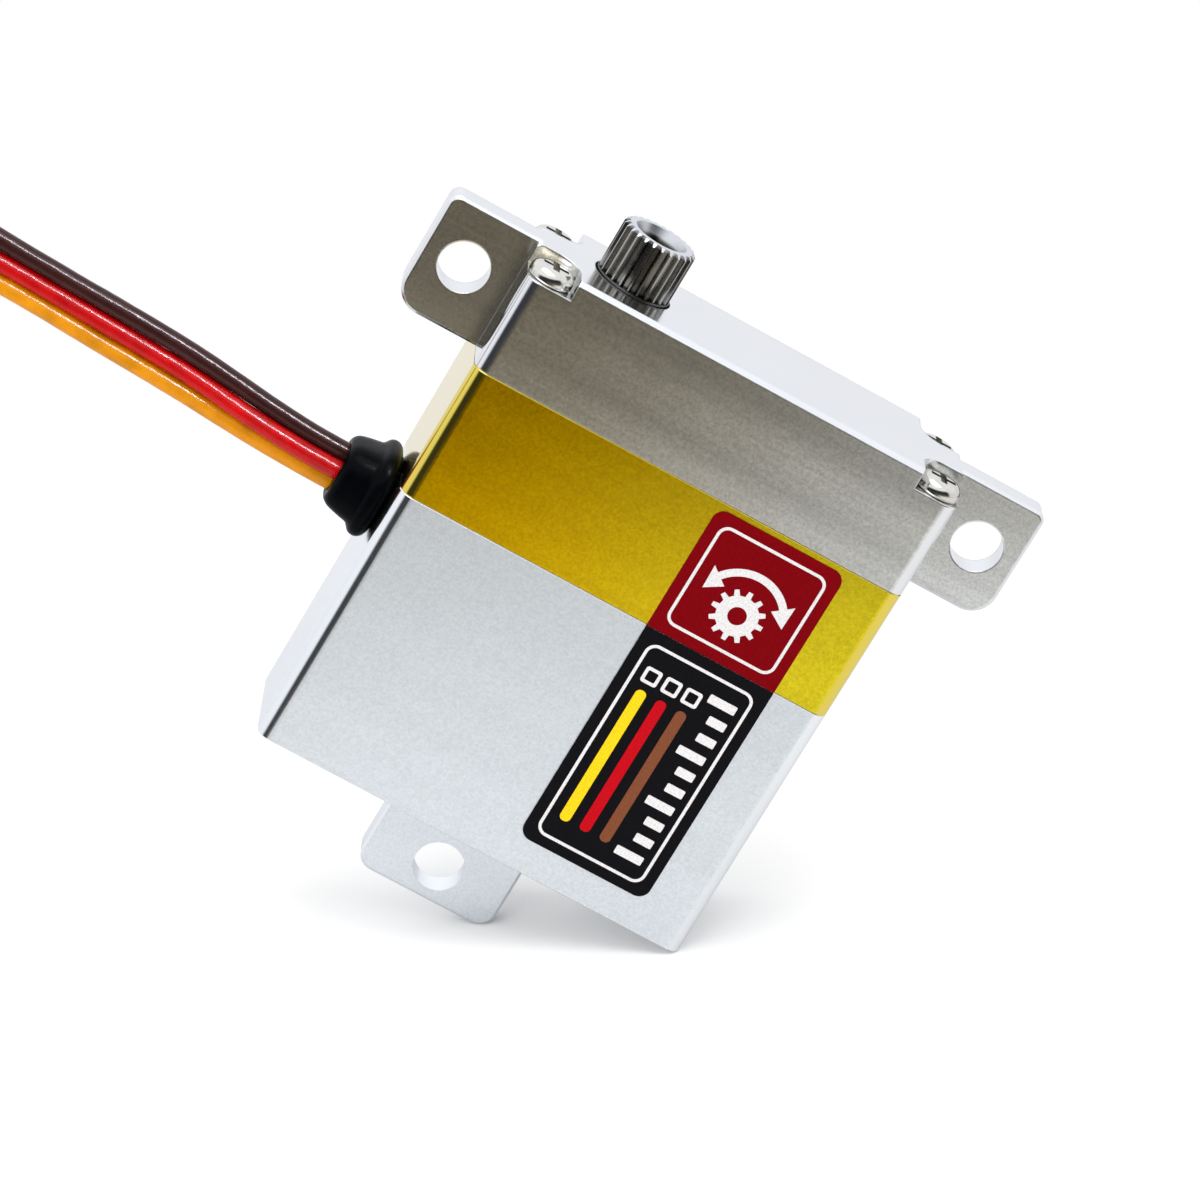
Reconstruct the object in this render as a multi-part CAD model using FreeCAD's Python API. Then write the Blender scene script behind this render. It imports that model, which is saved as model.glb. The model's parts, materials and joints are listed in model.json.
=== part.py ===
# Thin metal-cased wing servo: case, output shaft, gear train, motor, feedback sensor, board and lead.
# Millimetres. +Z runs out along the output shaft, +X towards the motor end, Y through the thickness.
# The origin is on the output shaft's axis, in the plane of the case's top face.
import FreeCAD, Part
import math
import os

V = FreeCAD.Vector
X_AXIS = V(1, 0, 0)
Y_AXIS = V(0, 1, 0)
Z_AXIS = V(0, 0, 1)

# ---- case ----
LEFT_X = -6.5                 # end face beside the output shaft
RIGHT_X = 23.5                # end face beside the motor
HALF_THICK = 5.0              # the case is 10 thick
WALL = 0.75
TOP_Z = 0.0
TOP_SEAM_Z = -7.9             # top case meets middle case
LOW_SEAM_Z = -17.1            # middle case meets lower case
BOTTOM_Z = -35.4
SIDE_FILLET = 0.95            # upright edges
TOP_CHAMFER = 0.3
SEAM_CHAMFER = 0.05
CAVITY_FILLET = 0.6
FLOOR = 1.0                   # lower case's bottom wall

# ---- ears ----
EAR_THICK = 2.1
EAR_REACH = 5.9               # from each end face
EAR_EDGE = 0.18               # chamfer round an ear's outline
EAR_TOP_RADIUS = 0.7
EAR_LOW_RADIUS = 1.7
EAR_HOLE_R = 1.65
EAR_HOLE_INSET = 3.1          # hole axis from the end face
EAR_HOLE_Z = -3.85
BOTTOM_EAR_LEFT_X = 3.5
BOTTOM_EAR_RIGHT_X = 13.1
BOTTOM_EAR_Z = -41.5
BOTTOM_EAR_RADIUS = 1.2
BOTTOM_HOLE_X = 8.3
BOTTOM_HOLE_Z = -39.1

# ---- case screws, M1.6 pan head ----
SCREW_X_INSET = 1.45          # screw axis from the end face
SCREW_Y = 3.35
SCREW_SEAT_Z = -1.35
SCREW_HEAD_R = 1.45
SCREW_HEAD_TOP_Z = -0.35
SCREW_HEAD_ROUND = 0.65
SCREW_RIM_ROUND = 0.2         # underside of the head
SCREW_R = 0.8
SCREW_HOLE_R = 0.86
SCREW_TIP_Z = -23.0
SCREW_POCKET_X = 3.0          # pocket's reach in from the end face
SCREW_POCKET_Y = 1.75         # pocket's inner wall from the centre plane
SCREW_POCKET_R = 1.5
COLUMN_R = 1.45
COLUMN_END_Z = -24.0
RECESS_ARM = 0.85
RECESS_WIDTH = 0.44
RECESS_DEPTH = 0.6

# ---- output shaft ----
JOURNAL_R = 2.5
ROOF_HOLE_R = 2.62
SPLINE_TEETH = 25
SPLINE_R = 2.45
SPLINE_ROOT_R = 2.13
SPLINE_BASE_Z = 0.15
SPLINE_TOP_Z = 3.53
SPLINE_CHAMFER = 0.2
SPLINE_TOOTH = (               # a tooth's outline: share of the pitch, radius
    (-0.30, SPLINE_ROOT_R),
    (-0.08, SPLINE_R),
    (0.08, SPLINE_R),
    (0.30, SPLINE_ROOT_R),
)
HORN_THREAD_R = 1.03          # M2.5 tapping size
HORN_THREAD_DEPTH = 6.68
HORN_MOUTH_R = 1.75
HORN_MOUTH_DEPTH = 0.8
HORN_BORE_R = 1.5
HORN_BORE_DEPTH = 1.7
GEAR_SEAT_R = 1.75
SHAFT_SHOULDER_R = 2.85
SHAFT_WAIST_R = 1.15
SHAFT_FOOT_R = 1.0
SHAFT_FOOT_Z = -20.6
SHAFT_FLAT = 0.7              # flat that turns the feedback rotor

# ---- gear train, from the motor (axis M) through pins C and B to the output (axis A) ----
PRESSURE_ANGLE = math.radians(25)
ADDENDUM = 0.9                # in modules
DEDENDUM = 1.15
TOOTH_SHARE = 0.46            # tooth thickness over circular pitch; the rest is running gap
MODULE_1 = 0.2
MODULE_2 = 0.25
MODULE_3 = 0.25
MODULE_4 = 0.3
MODULE_5 = 0.3
MOTOR_TEETH = 10
WHEEL_1_TEETH = 38
PINION_1_TEETH = 11
WHEEL_2_TEETH = 31
PINION_2_TEETH = 11
WHEEL_3_TEETH = 31
PINION_3_TEETH = 10
WHEEL_4_TEETH = 25
PINION_4_TEETH = 11
OUTPUT_TEETH = 25
AXIS_A_X = 0.0
AXIS_B_X = AXIS_A_X + MODULE_5 * (PINION_4_TEETH + OUTPUT_TEETH) / 2
AXIS_C_X = AXIS_B_X + MODULE_3 * (PINION_2_TEETH + WHEEL_3_TEETH) / 2
AXIS_M_X = AXIS_C_X + MODULE_1 * (MOTOR_TEETH + WHEEL_1_TEETH) / 2

GEAR_FLOOR_Z = -15.8          # top of the middle case's floor
GEAR_ROOF_Z = -3.6            # underside of the top case's roof
MOTOR_PINION_Z = (-15.2, -13.3)
WHEEL_1_Z = (-14.8, -13.6)
PINION_1_TOP_Z = -11.2
WHEEL_2_Z = (-13.1, -11.7)
PINION_2_TOP_Z = -9.1
WHEEL_3_Z = (-10.9, -9.5)
PINION_3_TOP_Z = -6.8
WHEEL_4_Z = (-8.7, -7.1)
PINION_4_TOP_Z = -3.9
OUTPUT_GEAR_Z = (-6.7, -4.2)
END_GAP = 0.08                # lengthwise play left at a boss

PIN_B_R = 0.75
PIN_C_R = 0.6
PIN_GAP = 0.03
PIN_FOOT_Z = -16.7
PIN_TOP_Z = -2.2
BOSS_R = 1.05
GEAR_BAY_RIGHT_X = 17.3       # end of the middle case's gear bay
ROOF_BAY_RIGHT_X = 13.4       # end of the top case's gear bay

# ---- ball bearings ----
UPPER_BEARING_R = 4.0
UPPER_BEARING_Z = (-3.5, -1.0)
UPPER_BALLS = 9
LOWER_BEARING_R = 2.5
LOWER_BEARING_Z = (-16.9, -14.6)
LOWER_BALLS = 7
LOWER_BOSS_R = 3.1
BALL_R = 0.39
GROOVE_R = 0.42
RING_THICK = 0.45             # upper rings
LOWER_RING_THICK = 0.5
CAGE_HALF_THICK = 0.16
CAGE_HALF_HEIGHT = 0.65
CAGE_POCKET_R = 0.43

# ---- motor ----
MOTOR_R = 4.0
MOTOR_SHELL = 0.4
MOTOR_TOP_Z = -17.2
MOTOR_FOOT_Z = -32.8
MOTOR_TOP_PLATE = 0.8
MOTOR_BOSS_R = 1.5
MOTOR_BOSS_Z = -16.5
MOTOR_BOSS_HOLE_R = 0.9
BUSH_BORE_R = 0.53
BUSH_LENGTH = 1.2
MOTOR_SHAFT_R = 0.5
MOTOR_SHAFT_Z = (-32.75, -13.0)
MAGNET_R = 2.2
MAGNET_Z = (-30.2, -18.0)
WINDING_R = (2.5, 3.1)
WINDING_Z = (-31.0, -18.6)
HUB_Z = (-31.6, -31.0)
COMMUTATOR_R = 0.9
COMMUTATOR_Z = (-32.7, -31.6)
END_CAP_Z = (-33.6, -31.8)
BRUSH_GAP = 0.02
BRUSH_THICK = 0.15
LEAD_R = 0.28
LEAD_Y = 1.0

# ---- feedback sensor, a potentiometer on the output shaft's foot ----
SENSOR_R = 3.2
SENSOR_Z = (-22.0, -17.8)
SENSOR_SHELL = 0.5
SENSOR_MOUTH_R = 1.6
TRACK_R = (1.5, 2.6)
TRACK_THICK = 0.2
TRACK_GAP_DEG = 50
SENSOR_ROTOR_R = 2.2
SENSOR_ROTOR_Z = (-20.9, -19.4)
WIPER_WIDTH = 0.4
SENSOR_PIN = 0.25
SENSOR_PIN_Z = -21.7
SENSOR_PIN_PITCH = 1.0

# ---- circuit board ----
BOARD_X = (-4.7, -3.9)
BOARD_Z = (-34.0, -24.6)
BOARD_HALF_WIDTH = 4.1
TONGUE_HALF_WIDTH = 1.7
TONGUE_TOP_Z = -17.5
PAD_R = 0.32
CHIP_THICK = 0.9
CONTROLLER_HALF_WIDTH = 1.8
CONTROLLER_Z = (-29.2, -25.6)
TRANSISTOR_PITCH = (2.2, 1.5)         # y, z
TRANSISTOR_SIZE = (1.6, 1.2)
TRANSISTOR_TOP_Z = -31.0              # upper row's centre
CAPACITOR_R = 1.3
CAPACITOR_LENGTH = 4.2
CAPACITOR_GAP = 0.3

# ---- lead ----
GROMMET_Z = -19.3             # centre height
GROMMET_FLANGE = (1.4, 6.2, 5.9)      # x, y, z sizes
GROMMET_BOOT = (2.05, 4.9, 4.5)
GROMMET_NECK_GAP = 0.02
GROMMET_SLOT_HALF_WIDTH = 1.5
GROMMET_SLOT_Z = -21.4
GROMMET_LIP = (0.7, 3.4, 4.8)
FLANGE_ROUND = 1.2
BOOT_ROUND = 1.0
WIRE_R = 0.61
WIRE_PITCH = 1.04
WIRE_STAGGER = 0.67           # the middle wire lies this far in front of the other two
WIRE_HOLE_R = 0.614
CORE_R = 0.28
WIRE_END_X = -46.0
PLUG_PITCH = 2.54
PLUG_DRIFT_Y = 2.6            # the lead drifts sideways and up on its way to the plug
PLUG_DRIFT_Z = 0.6
WIRE_STOPS = (                # distance from the grommet, sideways drift, rise, spacing, share of the stagger
    (4.0, 0.1, 0.12, 1.09, 0.93),
    (7.0, 0.35, 0.32, 1.17, 0.68),
    (10.0, 0.65, 0.54, 1.23, 0.3),
    (17.0, 1.35, 0.69, 1.245, 0.15),
    (24.0, 2.0, 0.75, 1.27, 0.15),
    (29.5, 2.42, 0.66, 1.85, 0.1),
)
PLUG_X = (-59.0, -45.0)
PLUG_HALF_HEIGHT = 3.82
PLUG_HALF_WIDTH = 1.25
PLUG_HOLE_R = 0.64
PLUG_ROUND = 0.2
PLUG_KEY = 0.45               # chamfer along two long edges, which tells the plug's two ways round apart
PLUG_MOUTH = (2.0, 0.5)       # depth and half width of a socket's square mouth
CONTACT = (8.0, 1.4, 1.7)     # x, y, z sizes
CONTACT_BORE = 0.66
CONTACT_GAP = 0.02
LATCH_X = (-53.6, -49.8)      # windows in the plug's front, each with a springy tongue
LATCH_HALF_WIDTH = 0.85
TONGUE = (2.6, 0.5, 0.45)     # length, half width, thickness
WIRE_STRAIGHT = 0.3           # straight lead outside the grommet
PLUG_ENTRY = 1.0              # straight lead outside the plug

# ---- labels ----
LABEL_X = (10.8, 19.8)
LABEL_THICK = 0.08
LABEL_ROUND = 0.8
UPPER_LABEL_Z = (-17.1, -8.3)
LOWER_LABEL_Z = (-33.15, -17.16)


# ---------------------------------------------------------------- helpers
def cylinder(x, y, z0, z1, radius):
    return Part.makeCylinder(radius, z1 - z0, V(x, y, z0))


def tube(x, y, z0, z1, outer, inner):
    return cylinder(x, y, z0, z1, outer).cut(cylinder(x, y, z0, z1, inner))


def box(x, y, z):
    """A box from three (low, high) pairs."""
    return Part.makeBox(x[1] - x[0], y[1] - y[0], z[1] - z[0], V(x[0], y[0], z[0]))


def ring_of(profile_points, x=0.0):
    """A solid of revolution about the upright line through x, from (radius, z) points."""
    points = [V(x + r, 0, z) for r, z in profile_points]
    face = Part.Face(Part.makePolygon(points + [points[0]]))
    return face.revolve(V(x, 0, 0), Z_AXIS, 360)


def upright_edges(shape, z0, z1):
    """Straight edges that run the whole way from z0 to z1."""
    found = []
    for edge in shape.Edges:
        b = edge.BoundBox
        if abs(b.ZMin - z0) < 1e-4 and abs(b.ZMax - z1) < 1e-4 and b.XLength + b.YLength < 1e-4:
            found.append(edge)
    return found


def level_edges(shape, z):
    """Edges that lie in the plane at height z."""
    return [e for e in shape.Edges if e.BoundBox.ZLength < 1e-4 and abs(e.BoundBox.ZMin - z) < 1e-4]


def rounded_block(x, y, z, radius):
    block = box(x, y, z)
    return block.makeFillet(radius, upright_edges(block, z[0], z[1]))


def rounded_plate(x, y, z, radii):
    """A flat plate facing Y with its own radius at each corner: low-left, low-right, top-right, top-left."""
    plate = box(x, y, z)
    corners = [(x[0], z[0]), (x[1], z[0]), (x[1], z[1]), (x[0], z[1])]
    for (cx, cz), radius in zip(corners, radii):
        if radius:
            edge = [e for e in plate.Edges if along_y_at(e, cx, cz)]
            plate = plate.makeFillet(radius, edge)
    return plate


def along_y_at(edge, x, z):
    b = edge.BoundBox
    level = b.XLength + b.ZLength < 1e-4
    return level and abs(b.XMin - x) < 1e-4 and abs(b.ZMin - z) < 1e-4


def y_hole(x, z, radius):
    return Part.makeCylinder(radius, 4 * HALF_THICK, V(x, -2 * HALF_THICK, z), Y_AXIS)


def merged(solids):
    return solids[0].multiFuse(solids[1:]).removeSplitter()


def group(solids):
    return Part.makeCompound(solids)


def corners():
    """The four case screws' positions, as x, y, and the outward signs."""
    spots = []
    for end_x, sign_x in ((LEFT_X, -1), (RIGHT_X, 1)):
        for sign_y in (-1, 1):
            spots.append((end_x - sign_x * SCREW_X_INSET, sign_y * SCREW_Y, sign_x, sign_y))
    return spots


# ---------------------------------------------------------------- case
def case_block(z0, z1):
    return rounded_block((LEFT_X, RIGHT_X), (-HALF_THICK, HALF_THICK), (z0, z1), SIDE_FILLET)


def cavity(x1, z0, z1):
    """A pocket between the side walls, less the corner columns that carry the screws."""
    inner = rounded_block((LEFT_X + WALL, x1), (WALL - HALF_THICK, HALF_THICK - WALL), (z0, z1),
                          CAVITY_FILLET)
    for x, y, _, _ in corners():
        inner = inner.cut(cylinder(x, y, z0, z1, COLUMN_R))
    return inner


def screw_holes(shape, z0, z1, radius):
    for x, y, _, _ in corners():
        shape = shape.cut(cylinder(x, y, z0, z1, radius))
    return shape


def seam(shape, z):
    outline = [e for e in level_edges(shape, z) if on_outline(e)]
    return shape.makeChamfer(SEAM_CHAMFER, outline)


def on_outline(edge):
    """True for an edge of the case block's outer outline."""
    for vertex in edge.Vertexes:
        p = vertex.Point
        if abs(p.y) < HALF_THICK - SIDE_FILLET - 1e-4 and LEFT_X + 1e-4 < p.x < RIGHT_X - 1e-4:
            return False
        if LEFT_X + SIDE_FILLET + 1e-4 < p.x < RIGHT_X - SIDE_FILLET - 1e-4:
            if abs(abs(p.y) - HALF_THICK) > 1e-4:
                return False
    return True


def side_ear(end_x, sign):
    """An upright mounting ear that stands out from one end of the top case."""
    reach = end_x + sign * EAR_REACH
    inside = end_x - sign * SIDE_FILLET
    low_x, high_x = min(reach, inside), max(reach, inside)
    if sign < 0:
        radii = (EAR_LOW_RADIUS, 0, 0, EAR_TOP_RADIUS)
    else:
        radii = (0, EAR_LOW_RADIUS, EAR_TOP_RADIUS, 0)
    ear = rounded_plate((low_x, high_x), (-EAR_THICK / 2, EAR_THICK / 2), (TOP_SEAM_Z, TOP_Z), radii)
    ear = ear.makeChamfer(EAR_EDGE, face_outline(ear, inside))
    hole_x = end_x + sign * EAR_HOLE_INSET
    return ear.cut(y_hole(hole_x, EAR_HOLE_Z, EAR_HOLE_R))


def face_outline(ear, buried_x):
    """Edges round an ear's two broad faces, apart from the edge buried in the case."""
    found = []
    for edge in ear.Edges:
        b = edge.BoundBox
        broad = b.YLength < 1e-4 and abs(abs(b.YMin) - EAR_THICK / 2) < 1e-4
        if broad and not (b.XLength < 1e-4 and abs(b.XMin - buried_x) < 1e-4):
            found.append(edge)
    return found


def screw_pocket(x, y, sign_x, sign_y):
    """Open corner pocket that a screw head sits in."""
    end_x = LEFT_X if sign_x < 0 else RIGHT_X
    xs = sorted((end_x - sign_x * SCREW_POCKET_X, end_x + sign_x))
    ys = sorted((sign_y * SCREW_POCKET_Y, sign_y * (HALF_THICK + 1)))
    pocket = box(xs, ys, (SCREW_SEAT_Z, TOP_Z + 1))
    inner_x = end_x - sign_x * SCREW_POCKET_X
    for edge in upright_edges(pocket, SCREW_SEAT_Z, TOP_Z + 1):
        b = edge.BoundBox
        if abs(b.XMin - inner_x) < 1e-4 and abs(b.YMin - sign_y * SCREW_POCKET_Y) < 1e-4:
            return pocket.makeFillet(SCREW_POCKET_R, [edge])
    return pocket


def top_case():
    body = case_block(TOP_SEAM_Z, TOP_Z)
    body = body.makeChamfer(TOP_CHAMFER, level_edges(body, TOP_Z))
    body = seam(body, TOP_SEAM_Z)
    body = merged([body, side_ear(LEFT_X, -1), side_ear(RIGHT_X, 1)])
    for corner in corners():
        body = body.cut(screw_pocket(*corner))
    body = body.cut(cavity(ROOF_BAY_RIGHT_X, TOP_SEAM_Z - 1, GEAR_ROOF_Z))
    body = merged([body, cylinder(AXIS_C_X, 0, PINION_3_TOP_Z + END_GAP, GEAR_ROOF_Z, BOSS_R)])
    body = body.cut(cylinder(AXIS_A_X, 0, GEAR_ROOF_Z, UPPER_BEARING_Z[1], UPPER_BEARING_R))
    body = body.cut(cylinder(AXIS_A_X, 0, UPPER_BEARING_Z[1], TOP_Z, ROOF_HOLE_R))
    body = body.cut(cylinder(AXIS_B_X, 0, GEAR_ROOF_Z, PIN_TOP_Z, PIN_B_R))
    body = body.cut(cylinder(AXIS_C_X, 0, PINION_3_TOP_Z, PIN_TOP_Z, PIN_C_R))
    return screw_holes(body, TOP_SEAM_Z, SCREW_SEAT_Z, SCREW_HOLE_R)


def middle_case():
    body = case_block(LOW_SEAM_Z, TOP_SEAM_Z)
    body = seam(seam(body, LOW_SEAM_Z), TOP_SEAM_Z)
    body = body.cut(cavity(GEAR_BAY_RIGHT_X, GEAR_FLOOR_Z, TOP_SEAM_Z))
    bosses = [
        cylinder(AXIS_A_X, 0, LOW_SEAM_Z, LOWER_BEARING_Z[1], LOWER_BOSS_R),
        cylinder(AXIS_B_X, 0, GEAR_FLOOR_Z, WHEEL_2_Z[0] - END_GAP, BOSS_R),
        cylinder(AXIS_C_X, 0, GEAR_FLOOR_Z, WHEEL_1_Z[0] - END_GAP, BOSS_R),
    ]
    body = merged([body] + bosses)
    body = body.cut(cylinder(AXIS_A_X, 0, LOWER_BEARING_Z[0], LOWER_BEARING_Z[1], LOWER_BEARING_R))
    body = body.cut(cylinder(AXIS_A_X, 0, LOW_SEAM_Z, LOWER_BEARING_Z[0], LOWER_BEARING_R - WALL))
    body = body.cut(cylinder(AXIS_B_X, 0, PIN_FOOT_Z, WHEEL_2_Z[0], PIN_B_R))
    body = body.cut(cylinder(AXIS_C_X, 0, PIN_FOOT_Z, WHEEL_1_Z[0], PIN_C_R))
    body = body.cut(cylinder(AXIS_M_X, 0, LOW_SEAM_Z, GEAR_FLOOR_Z, MOTOR_BOSS_R))
    return screw_holes(body, LOW_SEAM_Z, TOP_SEAM_Z, SCREW_HOLE_R)


def bottom_ear():
    x = (BOTTOM_EAR_LEFT_X, BOTTOM_EAR_RIGHT_X)
    z = (BOTTOM_EAR_Z, BOTTOM_Z + FLOOR / 2)
    radii = (BOTTOM_EAR_RADIUS, BOTTOM_EAR_RADIUS, 0, 0)
    ear = rounded_plate(x, (-EAR_THICK / 2, EAR_THICK / 2), z, radii)
    edges = [e for e in face_outline(ear, RIGHT_X) if e.BoundBox.ZMin < z[1] - 1e-4]
    ear = ear.makeChamfer(EAR_EDGE, edges)
    return ear.cut(y_hole(BOTTOM_HOLE_X, BOTTOM_HOLE_Z, EAR_HOLE_R))


def lower_case():
    body = case_block(BOTTOM_Z, LOW_SEAM_Z)
    body = seam(seam(body, LOW_SEAM_Z), BOTTOM_Z)
    body = merged([body, bottom_ear()])
    inner = cavity(RIGHT_X - WALL, COLUMN_END_Z, LOW_SEAM_Z)
    below = rounded_block((LEFT_X + WALL, RIGHT_X - WALL), (WALL - HALF_THICK, HALF_THICK - WALL),
                          (BOTTOM_Z + FLOOR, COLUMN_END_Z), CAVITY_FILLET)
    body = body.cut(inner).cut(below)
    slot = box((LEFT_X - 1, LEFT_X + WALL + 1), (-GROMMET_SLOT_HALF_WIDTH, GROMMET_SLOT_HALF_WIDTH),
               (GROMMET_SLOT_Z, LOW_SEAM_Z + 1))
    return screw_holes(body.cut(slot), SCREW_TIP_Z, LOW_SEAM_Z, SCREW_R)


def case_screw(x, y):
    head = cylinder(x, y, SCREW_SEAT_Z, SCREW_HEAD_TOP_Z, SCREW_HEAD_R)
    head = head.makeFillet(SCREW_HEAD_ROUND, level_edges(head, SCREW_HEAD_TOP_Z))
    head = head.makeFillet(SCREW_RIM_ROUND, level_edges(head, SCREW_SEAT_Z))
    screw = merged([head, cylinder(x, y, SCREW_TIP_Z, SCREW_SEAT_Z, SCREW_R)])
    z = (SCREW_HEAD_TOP_Z - RECESS_DEPTH, SCREW_HEAD_TOP_Z)
    for arm_x, arm_y in ((RECESS_ARM, RECESS_WIDTH / 2), (RECESS_WIDTH / 2, RECESS_ARM)):
        screw = screw.cut(box((x - arm_x, x + arm_x), (y - arm_y, y + arm_y), z))
    return screw


# ---------------------------------------------------------------- gears
def involute_point(base_r, radius, start, side):
    """Point on a flank at the given radius; start is the flank's angle on the base circle."""
    radius = max(radius, base_r)
    roll = math.sqrt((radius / base_r) ** 2 - 1)
    angle = start + side * (roll - math.atan(roll))
    return V(radius * math.cos(angle), radius * math.sin(angle), 0)


def tooth_edges(module, teeth, centre_angle):
    """One tooth's left flank, tip and right flank, from root circle to root circle."""
    pitch_r = module * teeth / 2
    base_r = pitch_r * math.cos(PRESSURE_ANGLE)
    tip_r = pitch_r + ADDENDUM * module
    root_r = pitch_r - DEDENDUM * module
    half_tooth = TOOTH_SHARE * math.pi / teeth
    half_base = half_tooth + math.tan(PRESSURE_ANGLE) - PRESSURE_ANGLE
    edges = []
    ends = []
    for side in (1, -1):
        start = centre_angle - side * half_base
        foot_r = max(base_r, root_r)
        low = involute_point(base_r, foot_r, start, side)
        middle = involute_point(base_r, (foot_r + tip_r) / 2, start, side)
        high = involute_point(base_r, tip_r, start, side)
        root = V(root_r * math.cos(start), root_r * math.sin(start), 0)
        if root_r >= base_r:
            root = low
        ends.append((root, low, middle, high))
    (root_0, low_0, middle_0, high_0), (root_1, low_1, middle_1, high_1) = ends
    if (root_0 - low_0).Length > 1e-6:
        edges.append(Part.LineSegment(root_0, low_0).toShape())
    edges.append(Part.Arc(low_0, middle_0, high_0).toShape())
    edges.append(Part.LineSegment(high_0, high_1).toShape())
    edges.append(Part.Arc(high_1, middle_1, low_1).toShape())
    if (root_1 - low_1).Length > 1e-6:
        edges.append(Part.LineSegment(low_1, root_1).toShape())
    return edges, root_0, root_1


def toothed_disc(module, teeth, z0, z1, x, first_tooth):
    """A spur gear blank on the upright line through x, with one tooth pointing at first_tooth."""
    outline = []
    first_root = None
    last_root = None
    for n in range(teeth):
        edges, root_in, root_out = tooth_edges(module, teeth, first_tooth + 2 * math.pi * n / teeth)
        if last_root is None:
            first_root = root_in
        else:
            outline.append(Part.LineSegment(last_root, root_in).toShape())
        outline.extend(edges)
        last_root = root_out
    outline.append(Part.LineSegment(last_root, first_root).toShape())
    disc = Part.Face(Part.Wire(outline)).extrude(V(0, 0, z1 - z0))
    disc.translate(V(x, 0, z0))
    return disc


def facing_right(_teeth):
    """A tooth points along +X, towards the mating gear."""
    return 0.0


def facing_left(teeth):
    """A tooth gap faces -X, where the mating gear's tooth points."""
    return math.pi + math.pi / teeth


def compound_gear(x, wheel, pinion, bore_r):
    """Wheel and pinion in one piece; each is (module, teeth, z0, z1, phase)."""
    discs = []
    for module, teeth, z0, z1, phase in (wheel, pinion):
        discs.append(toothed_disc(module, teeth, z0, z1, x, phase(teeth)))
    whole = discs[0].fuse(discs[1])
    return whole.cut(cylinder(x, 0, wheel[2], pinion[3], bore_r))


def gear_train():
    bore_b = PIN_B_R + PIN_GAP
    bore_c = PIN_C_R + PIN_GAP
    return {
        "gear_stage_1": compound_gear(
            AXIS_C_X, (MODULE_1, WHEEL_1_TEETH, *WHEEL_1_Z, facing_right),
            (MODULE_2, PINION_1_TEETH, WHEEL_1_Z[1], PINION_1_TOP_Z, facing_left), bore_c),
        "gear_stage_2": compound_gear(
            AXIS_B_X, (MODULE_2, WHEEL_2_TEETH, *WHEEL_2_Z, facing_right),
            (MODULE_3, PINION_2_TEETH, WHEEL_2_Z[1], PINION_2_TOP_Z, facing_right), bore_b),
        "gear_stage_3": compound_gear(
            AXIS_C_X, (MODULE_3, WHEEL_3_TEETH, *WHEEL_3_Z, facing_left),
            (MODULE_4, PINION_3_TEETH, WHEEL_3_Z[1], PINION_3_TOP_Z, facing_left), bore_c),
        "gear_stage_4": compound_gear(
            AXIS_B_X, (MODULE_4, WHEEL_4_TEETH, *WHEEL_4_Z, facing_right),
            (MODULE_5, PINION_4_TEETH, WHEEL_4_Z[1], PINION_4_TOP_Z, facing_left), bore_b),
        "gear_pin_b": cylinder(AXIS_B_X, 0, PIN_FOOT_Z, PIN_TOP_Z, PIN_B_R),
        "gear_pin_c": cylinder(AXIS_C_X, 0, PIN_FOOT_Z, PIN_TOP_Z, PIN_C_R),
    }


# ---------------------------------------------------------------- output
def spline():
    """Toothed end of the output shaft, with its tooth ends chamfered."""
    step = 2 * math.pi / SPLINE_TEETH
    points = []
    for n in range(SPLINE_TEETH):
        for share, radius in SPLINE_TOOTH:
            angle = (n + share) * step
            points.append(V(radius * math.cos(angle), radius * math.sin(angle), SPLINE_BASE_Z))
    face = Part.Face(Part.makePolygon(points + [points[0]]))
    teeth = face.extrude(V(0, 0, SPLINE_TOP_Z - SPLINE_BASE_Z))
    envelope = cylinder(0, 0, SPLINE_BASE_Z, SPLINE_TOP_Z, SPLINE_R)
    envelope = envelope.makeChamfer(SPLINE_CHAMFER, level_edges(envelope, SPLINE_TOP_Z))
    return teeth.common(envelope)


def output_shaft():
    bearing_low = UPPER_BEARING_Z[0]
    gear_low, gear_high = OUTPUT_GEAR_Z
    steps = [
        (0, SHAFT_FOOT_Z), (SHAFT_FOOT_R, SHAFT_FOOT_Z),
        (SHAFT_FOOT_R, LOWER_BEARING_Z[1]), (SHAFT_WAIST_R, LOWER_BEARING_Z[1]),
        (SHAFT_WAIST_R, gear_low), (GEAR_SEAT_R, gear_low),
        (GEAR_SEAT_R, gear_high), (SHAFT_SHOULDER_R, gear_high),
        (SHAFT_SHOULDER_R, bearing_low), (JOURNAL_R, bearing_low),
        (JOURNAL_R, SPLINE_BASE_Z), (0, SPLINE_BASE_Z),
    ]
    shaft = merged([ring_of(steps), spline()])
    shaft = shaft.cut(cylinder(0, 0, SPLINE_TOP_Z - HORN_THREAD_DEPTH, SPLINE_TOP_Z, HORN_THREAD_R))
    shaft = shaft.cut(cylinder(0, 0, SPLINE_TOP_Z - HORN_BORE_DEPTH, SPLINE_TOP_Z, HORN_BORE_R))
    mouth_foot = V(0, 0, SPLINE_TOP_Z - HORN_MOUTH_DEPTH)
    shaft = shaft.cut(Part.makeCone(HORN_BORE_R, HORN_MOUTH_R, HORN_MOUTH_DEPTH, mouth_foot))
    flat = box((SHAFT_FLAT, SHAFT_FOOT_R), (-SHAFT_FOOT_R, SHAFT_FOOT_R), (SHAFT_FOOT_Z, SENSOR_Z[1]))
    return shaft.cut(flat)


def output_gear():
    z0, z1 = OUTPUT_GEAR_Z
    disc = toothed_disc(MODULE_5, OUTPUT_TEETH, z0, z1, AXIS_A_X, facing_right(OUTPUT_TEETH))
    return disc.cut(cylinder(AXIS_A_X, 0, z0, z1, GEAR_SEAT_R))


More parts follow.
